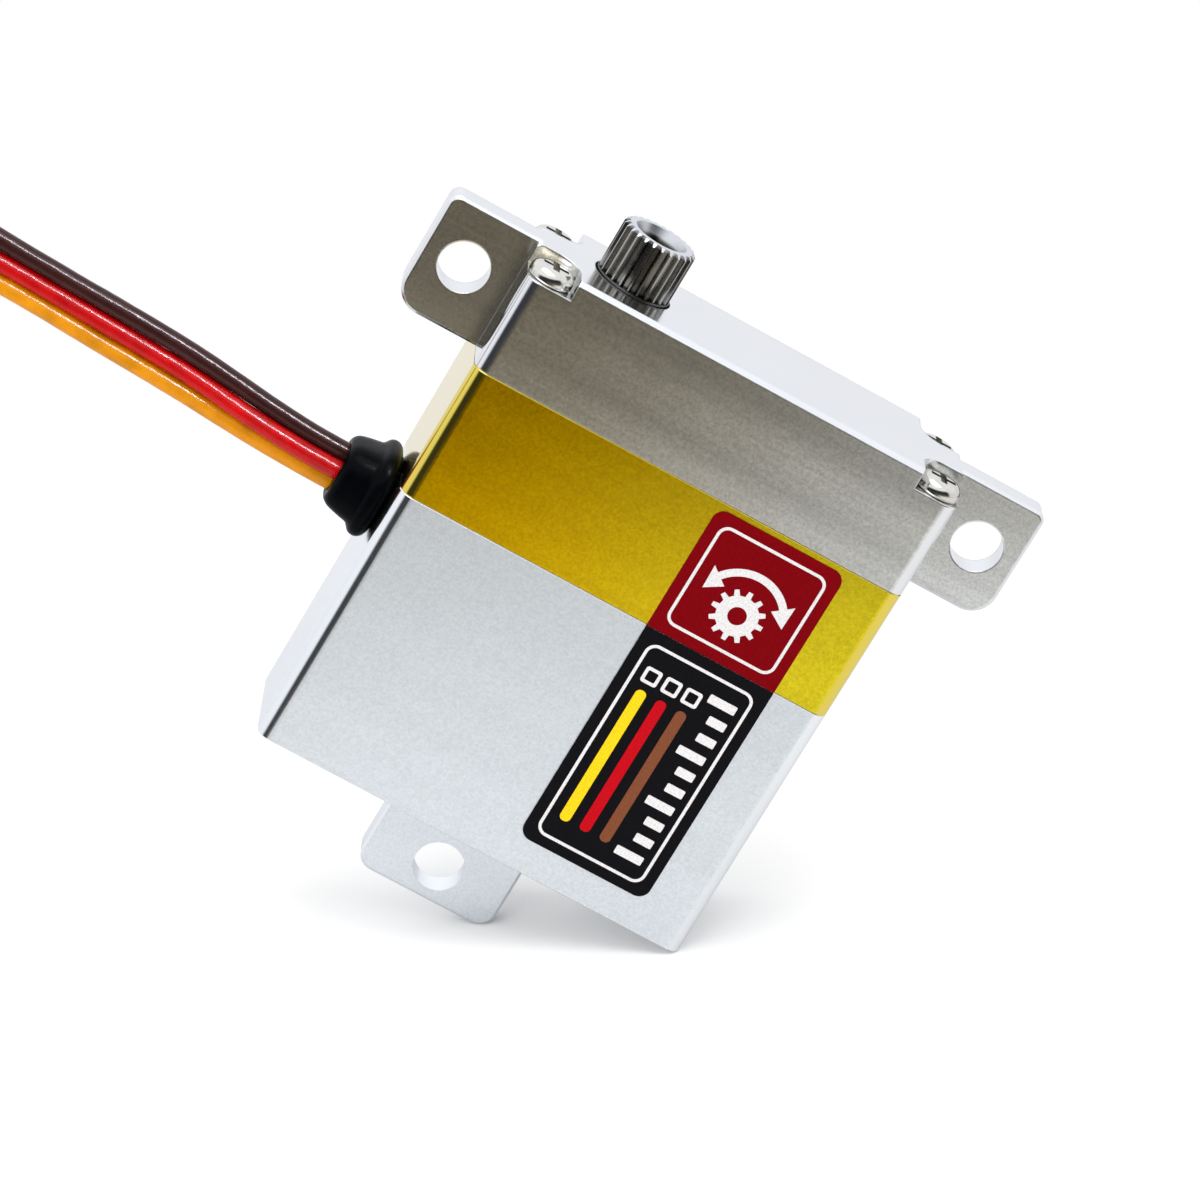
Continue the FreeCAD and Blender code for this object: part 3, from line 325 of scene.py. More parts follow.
# Places on the output shaft, in mm: reach from its axis, drop below its end, height in the frame.
MOUTH_REACH = (1.78, 1.86)    # rim of the bore's mouth
MOUTH_DROP = (0.65, 0.45)     # the mouth's bare flare fades out
RING_DROP = (0.22, 0.14)      # the end ring's chamfer
BORE_REACH = (1.6, 1.9)
BORE_DROP = (0.75, 0.55)      # the bore darkens below this
CREST_DROP = (0.14, 0.02)     # below a tooth's tip
COLLAR_HEIGHT = (0.15, 0.25)  # the teeth's foot
FACING_UP = (0.35, 0.6)
# Painted shade: shares of the colour left deep in the bore and at the teeth's foot.
BORE_SHADE = 0.2
COLLAR_SHADE = 0.3
CREST_SHARE = 0.6
CREST_METAL = (0.5, 0.5, 0.48)
BARE_METAL = (0.66, 0.67, 0.69)
BARE_ROUGH = 0.34


def shaft_metal(name, rgb):
    """Dark hardened teeth with bare ground metal on the end ring and in the bore's mouth, and painted shade
    deep in the bore and at the teeth's foot.
    """
    material, tree = new_material(name)
    position = place(tree)
    height = axis_part(tree, position, Z_AXIS)
    flat = vector_node(tree, "MULTIPLY", {0: position, 1: (1, 1, 0)})
    reach = vector_node(tree, "LENGTH", {0: flat}, "Value")

    def near_end(drop):
        return ramp(tree, height, SHAFT_END / MM - drop[0], SHAFT_END / MM - drop[1])

    upward = ramp(tree, axis_part(tree, surface_normal(tree), Z_AXIS), *FACING_UP)
    mouth = ramp(tree, reach, *MOUTH_REACH, 1.0, 0.0)
    bare = times(tree, larger(tree, upward, mouth), near_end(MOUTH_DROP))
    bare = larger(tree, bare, near_end(RING_DROP))

    stain = grain(tree, 1.5, detail=4.0)
    dark = scaled(tree, rgb, spread(tree, stain, 0.85, 1.15))
    # Painted shade deep in the bore, below its mouth.
    outside = larger(tree, near_end(BORE_DROP), ramp(tree, reach, *BORE_REACH))
    dark = scaled(tree, dark, remap(tree, outside, (0.0, 1.0), (BORE_SHADE, 1.0)))
    tip = SPLINE_TIP / MM
    crest = ramp(tree, reach, tip - CREST_DROP[0], tip - CREST_DROP[1], 0.0, CREST_SHARE)
    dark = mix_colour(tree, crest, dark, CREST_METAL)
    # Painted shade at the teeth's foot.
    dark = scaled(tree, dark, ramp(tree, height, *COLLAR_HEIGHT, COLLAR_SHADE, 1.0))

    marks = grain(tree, 3.0, (1.0, 1.0, 0.15), 4.0)
    finish_shader(tree, {
        "Base Color": mix_colour(tree, bare, dark, BARE_METAL), "Metallic": 1.0,
        "Normal": bump(tree, marks, 0.001 * MM, 0.4),
        "Roughness": mix_value(tree, bare, spread(tree, stain, 0.14, 0.24), BARE_ROUGH),
    })
    return material


def winding(name, rgb):
    """Enamelled copper wire laid in close turns, with painted shade in the troughs between turns."""
    material, tree = new_material(name)
    turns = add(tree, "ShaderNodeTexWave", {"Vector": place(tree), "Scale": 1.6, "Distortion": 0.5},
                bands_direction="Z").outputs["Fac"]
    # Painted shade: the colour drops to 0.45 of itself in the troughs between turns.
    finish_shader(tree, {
        "Base Color": mix_colour(tree, turns, [c * 0.45 for c in rgb], rgb), "Metallic": 1.0,
        "Roughness": 0.3, "Normal": bump(tree, turns, 0.05 * MM, 1.0),
    })
    return material


# ---------------------------------------------------------------- plastics, rubber and print
MOULD_EDGE = 0.08 * MM
MOULD_WEAR = 0.35
MOULD_WEAR_FULL = 0.8
MOULD_ROUGH = (0.8, 1.2)      # of the piece's roughness
BLOOM_SCALE = 0.5
BLOOM_RANGE = (0.35, 0.7)
BLOOM_SHARE = (0.0, 0.5)
BLOOM_GAIN = 1.5
BLOOM_LIFT = 0.0015
INSULATION_SHINE = 0.27
VINYL_SHINE = 0.03


def moulded(name, rgb, rough, texture=6.0, relief=0.004, shine=0.5):
    """Moulded plastic or rubber: fine surface texture, mould bloom and paler rubbed edges."""
    material, tree = new_material(name)
    fine = grain(tree, texture, detail=4.0)
    bloom = remap(tree, grain(tree, BLOOM_SCALE), BLOOM_RANGE, BLOOM_SHARE)
    pale = [min(1.0, c * BLOOM_GAIN + BLOOM_LIFT) for c in rgb]
    base = mix_colour(tree, bloom, rgb, pale)
    edge = worn_edges(tree, MOULD_EDGE, MOULD_WEAR_FULL)
    finish_shader(tree, {
        "Base Color": mix_colour(tree, times(tree, edge, MOULD_WEAR), base, pale),
        "Normal": bump(tree, fine, relief * MM, 0.7, soft_edges(tree, MOULD_EDGE)),
        "Specular IOR Level": shine,
        "Roughness": spread(tree, fine, *(rough * share for share in MOULD_ROUGH)),
    })
    return material


def insulation(name, rgb):
    """Glossy wire insulation with an uneven drawn surface."""
    material, tree = new_material(name)
    lumps = grain(tree, 0.9, (0.8, 1.0, 1.0), 2.0)
    fine = grain(tree, 5.0, (0.4, 1.0, 1.0), 3.0)
    height = math_node(tree, "ADD", lumps, times(tree, fine, 0.5))
    finish_shader(tree, {
        "Base Color": scaled(tree, rgb, spread(tree, lumps, 0.85, 1.15)),
        "Roughness": spread(tree, fine, 0.13, 0.25),
        "Normal": bump(tree, height, 0.05 * MM, 0.5), "Specular IOR Level": INSULATION_SHINE,
    })
    return material


def vinyl(name, rgb):
    """Printed label film: faint print grain and a little ripple."""
    material, tree = new_material(name)
    ripple = grain(tree, 0.5, detail=2.0)
    dots = grain(tree, 9.0, detail=1.0)
    height = math_node(tree, "ADD", times(tree, ripple, 3.0), times(tree, dots, 0.2))
    finish_shader(tree, {
        "Base Color": scaled(tree, rgb, spread(tree, dots, 0.86, 1.14)),
        "Roughness": spread(tree, ripple, 0.38, 0.5),
        "Normal": bump(tree, height, 0.004 * MM, 0.6, soft_edges(tree, SHARP_EDGE * MM)),
        "Specular IOR Level": VINYL_SHINE,
    })
    return material


def laminate(name, rgb):
    """Circuit board: solder mask over a woven base."""
    material, tree = new_material(name)
    weave = add(tree, "ShaderNodeTexWave", {"Vector": place(tree), "Scale": 3.0, "Distortion": 0.6},
                bands_direction="Z").outputs["Fac"]
    cloud = grain(tree, 0.7)
    finish_shader(tree, {
        "Base Color": mix_colour(tree, spread(tree, cloud, 0.0, 0.6), rgb, [c * 0.6 for c in rgb]),
        "Roughness": 0.35, "Normal": bump(tree, weave, 0.01 * MM, 0.4),
    })
    return material


# ---------------------------------------------------------------- finishes
SLOT_COLOURS = {m["slot"]: m["base_color"] for m in frame["record"]["materials"]}
# Each case finish lists the broad faces' tone at the left and right ends and the walls' tone; the change from
# end to end and the walls' tone are painted reflection.
SILVER_TONES = ((0.64, 0.615, 0.52), (0.695, 0.71, 0.7), (0.785, 0.79, 0.8))
GOLD_TONES = ((0.745, 0.435, 0.0005), (0.715, 0.58, 0.018), (0.77, 0.6, 0.06))
BLASTED_TONES = ((0.87, 0.915, 0.95), (0.83, 0.87, 0.905), (0.86, 0.88, 0.9))
PLAIN_METALS = ("gear_steel", "gear_brass", "bearing_steel", "motor_shell", "magnet", "capacitor")
PLAIN_PLASTICS = ("bearing_cage", "black_plastic", "sensor_track", "chip_black", "lead_insulation")


def finishes():
    """A material for each of the record's slots."""
    c = SLOT_COLOURS
    made = {
        "silver_alloy": case_metal("silver_alloy", SILVER_TONES, face_rough=0.24, wall_rough=0.14,
                                   streaks=0.065, speckle=0.145, top_edge=0.15),
        "gold_anodised": case_metal("gold_anodised", GOLD_TONES, face_rough=0.24, wall_rough=0.14,
                                    streaks=0.035, speckle=0.14, coat=0.8),
        "blasted_alloy": case_metal("blasted_alloy", BLASTED_TONES, face_rough=0.45, wall_rough=0.16,
                                    streaks=0.01, speckle=0.065),
        "nickel_screw": turned_metal("nickel_screw", (0.7, 0.68, 0.63), 0.11),
        "dark_steel": shaft_metal("dark_steel", (0.25, 0.24, 0.215)),
        "copper_winding": winding("copper_winding", c["copper_winding"]),
        "board_green": laminate("board_green", c["board_green"]),
        "black_rubber": moulded("black_rubber", (0.0008, 0.001, 0.0016), 0.27, texture=3.0,
                                relief=0.015, shine=0.035),
        "brown_insulation": insulation("brown_insulation", (0.03, 0.007, 0.006)),
        "red_insulation": insulation("red_insulation", (0.39, 0.001, 0.002)),
        "orange_insulation": insulation("orange_insulation", (0.55, 0.205, 0.0003)),
        "red_label": vinyl("red_label", (0.155, 0.0003, 0.0025)),
        "black_label": vinyl("black_label", (0.0048, 0.0046, 0.006)),
        "contact_metal": turned_metal("contact_metal", c["contact_metal"], 0.3, (0.06, 0.5, 0.5)),
    }
    for slot in PLAIN_METALS:
        made[slot] = turned_metal(slot, c[slot], 0.25)
    for slot in PLAIN_PLASTICS:
        made[slot] = moulded(slot, c[slot], 0.5)
    return made


FINISH = finishes()


def dress_nodes():
    """Gives every CAD node its slot's material."""
    for part in frame["record"]["subparts"]:
        mesh = frame["nodes"][part["node"]].data
        mesh.materials.clear()
        mesh.materials.append(FINISH[part["material_slot"]])
        for face in mesh.polygons:
            face.material_index = 0


# ---------------------------------------------------------------- mesh helpers
def new_piece(name, builder, materials, slot=None):
    """A mesh object that rides on the case, made from a filled bmesh."""
    bmesh.ops.recalc_face_normals(builder, faces=builder.faces)
    mesh = bpy.data.meshes.new(name)
    builder.to_mesh(mesh)
    builder.free()
    for material in materials:
        mesh.materials.append(material)
    piece = bpy.data.objects.new(name, mesh)
    bpy.context.scene.collection.objects.link(piece)
    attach(piece, "case")
    return piece


def bridge(builder, ring_a, ring_b):
    count = len(ring_a)
    for i in range(count):
        j = (i + 1) % count
        builder.faces.new((ring_a[i], ring_a[j], ring_b[j], ring_b[i]))


def loft(builder, rings):
    """A closed skin over rings of equal point count."""
    last = None
    for ring in rings:
        if last:
            bridge(builder, last, ring)
        else:
            builder.faces.new(ring)
        last = ring
    builder.faces.new(list(reversed(last)))


def shade_smooth(piece):
    for face in piece.data.polygons:
        face.use_smooth = True


def around(cx, cz, radius, angle):
    """The (x, z) point at an angle round a centre."""
    return cx + radius * math.cos(angle), cz + radius * math.sin(angle)


# ---------------------------------------------------------------- wires
WIRES = {"wire_brown": "brown_insulation", "wire_red": "red_insulation", "wire_orange": "orange_insulation"}
WIRE_STATION = 0.5 * MM
WIRE_SIDES = 24
STRANDS = 7
STRAND_RELIEF = 0.004         # of the wire's radius
STRAND_LAY = 9.0 * MM
LUMP_RELIEF = 0.025           # of the wire's radius
LUMP_SIZE = 1.1 * MM
WIRE_SWELL = 1.025


def section(source, x):
    """Centre and mean radius of a mesh's cross-section at x."""
    cut = source.copy()
    everything = cut.verts[:] + cut.edges[:] + cut.faces[:]
    found = bmesh.ops.bisect_plane(cut, geom=everything, plane_co=(x, 0, 0), plane_no=(1, 0, 0))
    edges = [g for g in found["geom_cut"] if isinstance(g, bmesh.types.BMEdge)]
    total = sum(e.calc_length() for e in edges)
    centre = Vector((0, 0, 0))
    for e in edges:
        centre += (e.verts[0].co + e.verts[1].co) / 2 * e.calc_length()
    centre /= total
    radius = sum((e.verts[0].co - centre).length for e in edges) / len(edges)
    cut.free()
    return centre, radius


def sections(node, places):
    """Cross-sections of a node at each x in places."""
    source = bmesh.new()
    source.from_mesh(frame["nodes"][node].data)
    found = [section(source, x) for x in places]
    source.free()
    return found


def wire_path(node):
    """Stations along a wire, from inside the case to inside the plug."""
    start = GROMMET_HIGH.x
    count = int((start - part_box(node)[0].x) / WIRE_STATION)
    return sections(node, [start - i * WIRE_STATION for i in range(1, count)])


def wire_rings(builder, stations):
    """Rings along a wire, with a faint twist of strands and drawn lumps."""
    radius = stations[0][1]
    centres = [centre for centre, _ in stations]
    for i, centre in enumerate(centres):
        along = (centres[min(i + 1, len(centres) - 1)] - centres[max(i - 1, 0)]).normalized()
        side = along.cross(Z_AXIS).normalized()
        up = side.cross(along)
        ring = []
        for k in range(WIRE_SIDES):
            angle = 2 * math.pi * k / WIRE_SIDES
            twist = STRANDS * angle + 2 * math.pi * centre.x / STRAND_LAY * STRANDS
            out = side * math.cos(angle) + up * math.sin(angle)
            lump = noise.noise((centre + out * radius) / LUMP_SIZE)
            r = radius * (WIRE_SWELL + STRAND_RELIEF * math.cos(twist) + LUMP_RELIEF * lump)
            ring.append(builder.verts.new(centre + out * r))
        yield ring


def wire(node, slot):
    builder = bmesh.new()
    loft(builder, wire_rings(builder, wire_path(node)))
    piece = new_piece(node + "_insulation", builder, [FINISH[slot]], slot)
    shade_smooth(piece)
    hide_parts(node)
    return piece


# ---------------------------------------------------------------- grommet
GROMMET_SIDES = 56
GROMMET_PROFILE = (           # mm: distance out from the case wall, half width, half height, height offset
    (-1.43, 1.0, 1.7, -0.22),
    (-1.42, 1.6, 2.3, -0.22),
    (-0.8, 1.66, 2.36, -0.22),
    (-0.74, 1.44, 2.08, 0.03),
    (-0.02, 1.44, 2.08, 0.03),
    (0.03, 2.3, 2.1, -0.1),
    (0.12, 2.7, 2.5, -0.08),
    (0.35, 2.98, 2.86, -0.04),
    (0.68, 3.08, 3.02, -0.02),
    (1.0, 3.04, 3.0, -0.01),
    (1.22, 2.92, 2.86, 0.0),
    (1.38, 2.76, 2.62, 0.0),
    (1.52, 2.68, 2.5, 0.0),
    (1.75, 2.66, 2.47, 0.0),
    (2.2, 2.58, 2.38, 0.02),
    (2.8, 2.44, 2.26, 0.05),
    (3.1, 2.3, 2.14, 0.06),
    (3.3, 2.1, 1.98, 0.05),
    (3.42, 1.8, 1.84, 0.03),
    (3.4, 1.45, 1.76, 0.02),
    (3.32, 0.9, 1.68, 0.02),
)
GROMMET_SQUARENESS = 3.2      # 2 is an ellipse, more is squarer
RUBBER_LUMP = 0.035 * MM
RUBBER_LUMP_SIZE = 1.3 * MM
RUBBER_LUMP_FROM = 0.1        # mm out from the case wall


def rounded_ring(builder, centre, half_width, half_height):
    """A ring facing X, between an ellipse and a rectangle."""
    ring = []
    power = 2 / GROMMET_SQUARENESS
    for k in range(GROMMET_SIDES):
        angle = 2 * math.pi * k / GROMMET_SIDES
        c, s = math.cos(angle), math.sin(angle)
        y = math.copysign(abs(c) ** power, c) * half_width
        z = math.copysign(abs(s) ** power, s) * half_height
        ring.append(builder.verts.new(centre + Vector((0, y, z))))
    return ring


def grommet_rings(builder):
    """Rings out along the grommet, round the middle wire's height where it leaves the case."""
    middle_z = sections("wire_red", [GROMMET_LOW.x - WIRE_STATION / 2])[0][0].z
    for out, half_width, half_height, offset in GROMMET_PROFILE:
        centre = Vector((CASE_LOW.x - out * MM, 0, middle_z + offset * MM))
        ring = rounded_ring(builder, centre, half_width * MM, half_height * MM)
        if out > RUBBER_LUMP_FROM:
            for v in ring:
                v.co += (v.co - centre).normalized() * RUBBER_LUMP * noise.noise(v.co / RUBBER_LUMP_SIZE)
        yield ring


def grommet():
    """Moulded strain relief: a bulging flange on the case wall, a groove, and a boot that ends in a lip."""
    builder = bmesh.new()
    loft(builder, grommet_rings(builder))
    piece = new_piece("grommet_rubber", builder, [FINISH["black_rubber"]], "black_rubber")
    shade_smooth(piece)
    smooth = piece.modifiers.new("smooth", "SUBSURF")
    smooth.levels = smooth.render_levels = 1
    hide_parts("cable_grommet")
    return piece


# ---------------------------------------------------------------- label prints
PRINT_THICK = 0.02 * MM
PRINT_SINK = 0.005 * MM
BORDER_INSET = 0.72 * MM
BORDER_WIDTH = 0.2 * MM
BORDER_ROUND = 0.75 * MM
CORNER_STEPS = 8

# turning-gear sign on the upper label
SIGN_DROP = 1.15 * MM         # the gear's centre below the label's
GEAR_TEETH = 12
GEAR_TIP = 1.75 * MM
GEAR_ROOT = 1.35 * MM
GEAR_BORE = 0.6 * MM
ROOT_TURN = 0.27              # half a tooth's width at its root, as a share of the pitch
TIP_TURN = 0.16
ARROW_RADIUS = 2.85 * MM
ARROW_WIDTH = 0.5 * MM
ARROW_SWEEP = math.radians(52)        # to each side of upright
ARROW_STEPS = 24
ARROW_HEAD = 0.75 * MM
ARROW_REACH = 1.3 * MM

# lead-colour key and tick scale on the lower label
KEY_INSET = 2.2 * MM
KEY_LEFT = 1.95 * MM
KEY_PITCH = 1.42 * MM
KEY_BARS = 3
BAR_HALF = 0.36 * MM
BAR_ROUND = 0.9               # of its half width
PAD = 0.62 * MM
BAR_TOP = 2.6 * PAD           # below the key's top, as are the next two
PAD_LOW = 1.8 * PAD
PAD_HOLE = (1.45 * PAD, 0.35 * PAD)
PAD_HALF = (0.9 * PAD, 0.55 * PAD)    # outside, hole
PAD_ROUND = (0.3 * PAD, 0.15 * PAD)
TICKS = 10
LONG_TICK_EVERY = 3
LONG_TICK = 1.9 * MM
SHORT_TICK = 1.25 * MM
TICK_HALF = 0.3 * MM
TICK_ROUND = 0.08 * MM
SCALE_RIGHT = 1.4 * MM
PRINT_WHITE = (0.6, 0.58, 0.58)
INKS = {
    "white_ink": (0.62, 0.6, 0.6), "yellow_ink": (0.75, 0.5, 0.01),
    "red_ink": (0.42, 0.003, 0.008), "brown_ink": (0.17, 0.055, 0.025),
}


def rounded_outline(low, high, radius):
    """(x, z) points round a rectangle with rounded corners."""
    spots = ((high[0] - radius, high[1] - radius, 0), (low[0] + radius, high[1] - radius, 90),
             (low[0] + radius, low[1] + radius, 180), (high[0] - radius, low[1] + radius, 270))
    return [around(cx, cz, radius, math.radians(first + 90 * step / CORNER_STEPS))
            for cx, cz, first in spots for step in range(CORNER_STEPS + 1)]


def circle_outline(cx, cz, radius, count):
    return [around(cx, cz, radius, 2 * math.pi * k / count) for k in range(count)]


def gear_outline(cx, cz):
    corners = ((-ROOT_TURN, GEAR_ROOT), (-TIP_TURN, GEAR_TIP), (TIP_TURN, GEAR_TIP), (ROOT_TURN, GEAR_ROOT))
    return [around(cx, cz, radius, 2 * math.pi * (n + share) / GEAR_TEETH)
            for n in range(GEAR_TEETH) for share, radius in corners]


def print_patch(builder, face_y, outline, hole=None, index=0):
    """A thin raised print on a label's face, with an optional hole of the same point count."""
    back, front = face_y + PRINT_SINK, face_y - PRINT_THICK
    outer = [[builder.verts.new((x, y, z)) for x, z in outline] for y in (back, front)]
    before = set(builder.faces)
    bridge(builder, outer[0], outer[1])
    if hole:
        inner = [[builder.verts.new((x, y, z)) for x, z in hole] for y in (back, front)]
        bridge(builder, inner[0], inner[1])
        bridge(builder, outer[0], inner[0])
        bridge(builder, outer[1], inner[1])
    else:
        builder.faces.new(outer[0])
        builder.faces.new(outer[1])
    for face in set(builder.faces) - before:
        face.material_index = index


def border(builder, low, high):
    a, b = BORDER_INSET, BORDER_INSET + BORDER_WIDTH
    outer = rounded_outline((low.x + a, low.z + a), (high.x - a, high.z - a), BORDER_ROUND)
    inner = rounded_outline((low.x + b, low.z + b), (high.x - b, high.z - b), BORDER_ROUND - BORDER_WIDTH)
    print_patch(builder, low.y, outer, inner)


def turn_arrow(builder, cx, cz, face_y):
    """An arc over the gear with an arrowhead at each end."""
    outline = []
    for side in (1, -1):
        for k in range(ARROW_STEPS + 1):
            angle = math.pi / 2 - side * ARROW_SWEEP + side * 2 * ARROW_SWEEP * k / ARROW_STEPS
            outline.append(around(cx, cz, ARROW_RADIUS + side * ARROW_WIDTH / 2, angle))
    print_patch(builder, face_y, outline)
    for side in (-1, 1):
        end = math.pi / 2 + side * ARROW_SWEEP
        tip = end + side * ARROW_REACH / ARROW_RADIUS
        print_patch(builder, face_y, [
            around(cx, cz, ARROW_RADIUS + ARROW_HEAD, end),
            around(cx, cz, ARROW_RADIUS, tip),
            around(cx, cz, ARROW_RADIUS - ARROW_HEAD, end),
        ])


def red_print():
    """Generic turning-gear sign in a rounded border."""
    low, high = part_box("upper_label")
    builder = bmesh.new()
    border(builder, low, high)
    cx = (low.x + high.x) / 2
    cz = (low.z + high.z) / 2 - SIGN_DROP
    gear = gear_outline(cx, cz)
    print_patch(builder, low.y, gear, circle_outline(cx, cz, GEAR_BORE, len(gear)))
    turn_arrow(builder, cx, cz, low.y)
    new_piece("upper_label_print", builder, [vinyl("white_print", PRINT_WHITE)])


def black_print():
    """Generic lead-colour key beside a tick scale, in a rounded border."""
    low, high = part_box("lower_label")
    builder = bmesh.new()
    border(builder, low, high)
    bottom, top = low.z + KEY_INSET, high.z - KEY_INSET
    for n in range(KEY_BARS):
        x = low.x + KEY_LEFT + n * KEY_PITCH
        bar = rounded_outline((x - BAR_HALF, bottom), (x + BAR_HALF, top - BAR_TOP), BAR_HALF * BAR_ROUND)
        print_patch(builder, low.y, bar, index=n + 1)
        outer = rounded_outline((x - PAD_HALF[0], top - PAD_LOW), (x + PAD_HALF[0], top), PAD_ROUND[0])
        inner = rounded_outline((x - PAD_HALF[1], top - PAD_HOLE[0]), (x + PAD_HALF[1], top - PAD_HOLE[1]),
                                PAD_ROUND[1])
        print_patch(builder, low.y, outer, inner)
    right = high.x - SCALE_RIGHT
    step = (top - bottom) / (TICKS - 1)
    for n in range(TICKS):
        z = bottom + n * step
        length = SHORT_TICK if n % LONG_TICK_EVERY else LONG_TICK
        tick = rounded_outline((right - length, z - TICK_HALF), (right, z + TICK_HALF), TICK_ROUND)
        print_patch(builder, low.y, tick)
    new_piece("lower_label_print", builder, [vinyl(name, rgb) for name, rgb in INKS.items()])


# ---------------------------------------------------------------- stage
FLOOR_RADIUS = 130 * MM
FLOOR_STEPS = 96
FLOOR_FADE = (62 * MM, 118 * MM)
FLOOR_SEEN = (0.88,) * 3
# Painted reflection: colours that only mirroring rays see on the floor, darker and warmer away from the case,
# cooler behind it.
MIRRORED_NEAR = (0.675, 0.68, 0.685)  # the floor's colours as the metal mirrors it
MIRRORED_FAR = (0.5, 0.44, 0.35)
MIRRORED_BEHIND = (0.6, 0.61, 0.64)
MIRRORED_FADE = (55 * MM, 115 * MM)
BEHIND_SPAN = (-10 * MM, 10 * MM)     # along Y

# Painted reflection: the room that only mirroring rays see, by direction, from shares along the front and
# along the floor's normal.
ROOM_AHEAD = (0.32, 0.6)
ROOM_TOP = (0.22, 0.42)
PAINTED_TABLE_EDGE = (-0.3, -0.08)
STUDIO_RISE = (-0.1, 0.6)
PAINTED_TABLE_REFLECTION = (0.115, 0.098, 0.07)
PAINTED_ROOM_REFLECTION = (0.03, 0.034, 0.042)
# Painted reflection: the studio's white as mirroring rays see it, brighter higher up.
STUDIO_LOW = (0.9, 0.91, 0.95)
STUDIO_HIGH = (1.1, 1.13, 1.18)
STUDIO_LIGHT = (1.08, 1.08, 1.08)
GLINT_COLOUR = (0.95, 0.9, 1.0)


def resting_plane():
    """A point on the floor and its upward normal: the servo leans on its bottom corner and its bottom ear."""
    points = [v.co for v in frame["nodes"]["lower_case"].data.vertices]
    corner = max(points, key=lambda p: p.x - p.z)
    tilt = max(math.atan2(corner.z - p.z, corner.x - p.x) for p in points if corner.x - p.x > MM)
    return Vector((corner.x, 0, corner.z)), Vector((-math.sin(tilt), 0, math.cos(tilt)))


FLOOR_POINT, FLOOR_UP = resting_plane()


def floor_material(centre):
    """Plain pale floor that fades out at its rim and can't be seen from below; mirroring rays see painted
    reflection colours on it.
    """
    material, tree = new_material("floor")
    geometry = add(tree, "ShaderNodeNewGeometry")
    position = geometry.outputs["Position"]
    reach = vector_node(tree, "DISTANCE", {0: position, 1: tuple(centre)}, "Value")
    above = rest_of_one(tree, geometry.outputs["Backfacing"])
    cover = times(tree, ramp(tree, reach, *FLOOR_FADE, 1.0, 0.0), above)
    painted_floor_reflection = mix_colour(tree, ramp(tree, reach, *MIRRORED_FADE), MIRRORED_NEAR, MIRRORED_FAR)
    behind = ramp(tree, axis_part(tree, position, Y_AXIS), *BEHIND_SPAN)
    painted_floor_reflection = mix_colour(tree, behind, painted_floor_reflection, MIRRORED_BEHIND)
    mirrored = add(tree, "ShaderNodeLightPath").outputs["Is Glossy Ray"]
    shader = add(tree, "ShaderNodeBsdfDiffuse", {"Color": mix_colour(tree, mirrored, FLOOR_SEEN, painted_floor_reflection)})
    clear = add(tree, "ShaderNodeBsdfTransparent")
    mixed = add(tree, "ShaderNodeMixShader", {0: cover, 1: clear.outputs[0], 2: shader.outputs[0]})
    add(tree, "ShaderNodeOutputMaterial", {"Surface": mixed.outputs[0]})
    return material


def floor():
    centre = CASE_CENTRE - FLOOR_UP * (CASE_CENTRE - FLOOR_POINT).dot(FLOOR_UP)
    turn = FLOOR_UP.to_track_quat("Z", "Y").to_matrix().to_4x4()
    builder = bmesh.new()
    bmesh.ops.create_circle(builder, cap_ends=True, segments=FLOOR_STEPS, radius=FLOOR_RADIUS)
    mesh = bpy.data.meshes.new("floor")
    builder.to_mesh(mesh)
    builder.free()
    mesh.materials.append(floor_material(centre))
    piece = bpy.data.objects.new("floor", mesh)
    piece.matrix_world = Matrix.Translation(centre) @ turn
    bpy.context.scene.collection.objects.link(piece)


def world():
    """White studio light, with a painted reflection of a dim room low in front of the labelled face that only
    mirroring rays see. The camera sees plain white.
    """
    made = bpy.data.worlds.new("studio")
    made.use_nodes = True
    tree = made.node_tree
    tree.nodes.clear()
    direction = add(tree, "ShaderNodeTexCoord").outputs["Generated"]
    up = axis_part(tree, direction, FLOOR_UP)
    front = axis_part(tree, direction, -Y_AXIS)
    # Painted reflection: a dim room low ahead and a dim table below the horizon, for mirroring rays only.
    room = times(tree, ramp(tree, front, *ROOM_AHEAD), ramp(tree, up, *ROOM_TOP, 1.0, 0.0))
    dim = mix_colour(tree, ramp(tree, up, *PAINTED_TABLE_EDGE), PAINTED_TABLE_REFLECTION, PAINTED_ROOM_REFLECTION)
    bright = mix_colour(tree, ramp(tree, up, *STUDIO_RISE), STUDIO_LOW, STUDIO_HIGH)
    mirrored = mix_colour(tree, room, bright, dim)
    rays = add(tree, "ShaderNodeLightPath").outputs
    lit = add(tree, "ShaderNodeBackground",
              {"Color": mix_colour(tree, rays["Is Glossy Ray"], STUDIO_LIGHT, mirrored), "Strength": 1.0})
    plain = add(tree, "ShaderNodeBackground", {"Color": colour((1, 1, 1)), "Strength": 1.0})
    mixed = add(tree, "ShaderNodeMixShader",
                {0: rays["Is Camera Ray"], 1: lit.outputs[0], 2: plain.outputs[0]})
    add(tree, "ShaderNodeOutputWorld", {"Surface": mixed.outputs[0]})
    bpy.context.scene.world = made


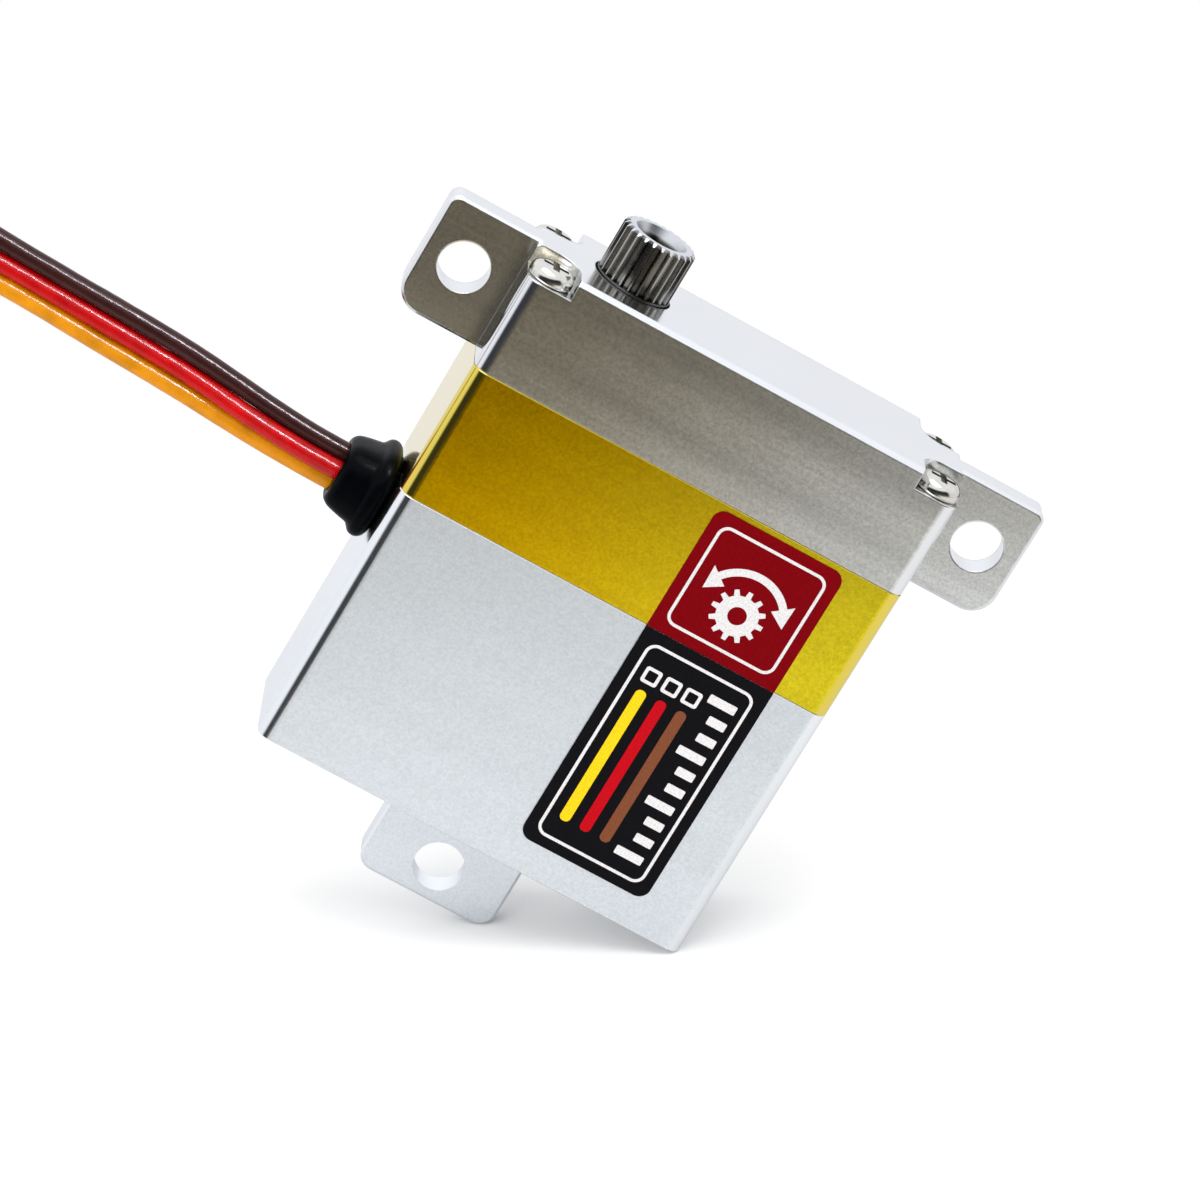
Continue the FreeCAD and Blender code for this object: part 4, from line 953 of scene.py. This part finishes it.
def softbox(name, toward, distance, size, power, seen_by="both"):
    """An area light that faces the case. One seen by "matt" only lights, by "gloss" is only mirrored."""
    toward = toward.normalized()
    data = bpy.data.lights.new(name, "AREA")
    data.shape = "RECTANGLE"
    data.size, data.size_y = size
    data.energy = power
    light = bpy.data.objects.new(name, data)
    light.location = CASE_CENTRE + toward * distance
    light.rotation_mode = "QUATERNION"
    light.rotation_quaternion = toward.to_track_quat("Z", "Y")
    light.visible_camera = False
    light.visible_diffuse = seen_by != "gloss"
    light.visible_glossy = seen_by != "matt"
    bpy.context.scene.collection.objects.link(light)
    return light


def lights(shiny):
    """Overhead and fill light, and a strip that only the shiny pieces mirror."""
    right = Y_AXIS.cross(FLOOR_UP)
    overhead = FLOOR_UP + right * 0.1 - Y_AXIS * 0.3
    fill = FLOOR_UP * 0.4 - right * 0.5 - Y_AXIS
    glint = Z_AXIS + X_AXIS * 0.1 - Y_AXIS * 0.65
    softbox("overhead", overhead, distance=420 * MM, size=(360 * MM, 300 * MM), power=0.7)
    softbox("fill", fill, distance=500 * MM, size=(300 * MM, 200 * MM), power=0.9, seen_by="matt")
    strip = softbox("glint", glint, distance=400 * MM, size=(240 * MM, 50 * MM), power=2.6, seen_by="gloss")
    receivers = bpy.data.collections.new("glint_receivers")
    for piece in shiny:
        receivers.objects.link(piece)
    strip.light_linking.receiver_collection = receivers
    strip.data.color = GLINT_COLOUR


def camera():
    data = bpy.data.cameras.new("camera")
    data.lens = CAMERA_LENS
    data.sensor_width = CAMERA_SENSOR
    data.clip_start, data.clip_end = CAMERA_CLIP
    piece = bpy.data.objects.new("camera", data)
    e, a = CAMERA_ELEVATION, CAMERA_AZIMUTH
    back = Vector((math.sin(a) * math.cos(e), -math.cos(a) * math.cos(e), math.sin(e)))
    upright = back.to_track_quat("Z", "Y").to_matrix()
    turned = Matrix.Rotation(CAMERA_ROLL, 3, back) @ upright
    target = CASE_CENTRE + CAMERA_SHIFT
    piece.matrix_world = Matrix.Translation(target + back * CAMERA_DISTANCE) @ turned.to_4x4()
    bpy.context.scene.collection.objects.link(piece)
    bpy.context.scene.camera = piece


dress_nodes()
glossy = [wire(wire_node, wire_slot) for wire_node, wire_slot in WIRES.items()]
glossy.append(grommet())
red_print()
black_print()
floor()
world()
lights(glossy)
camera()
bpy.context.scene.view_settings.view_transform = "Standard"
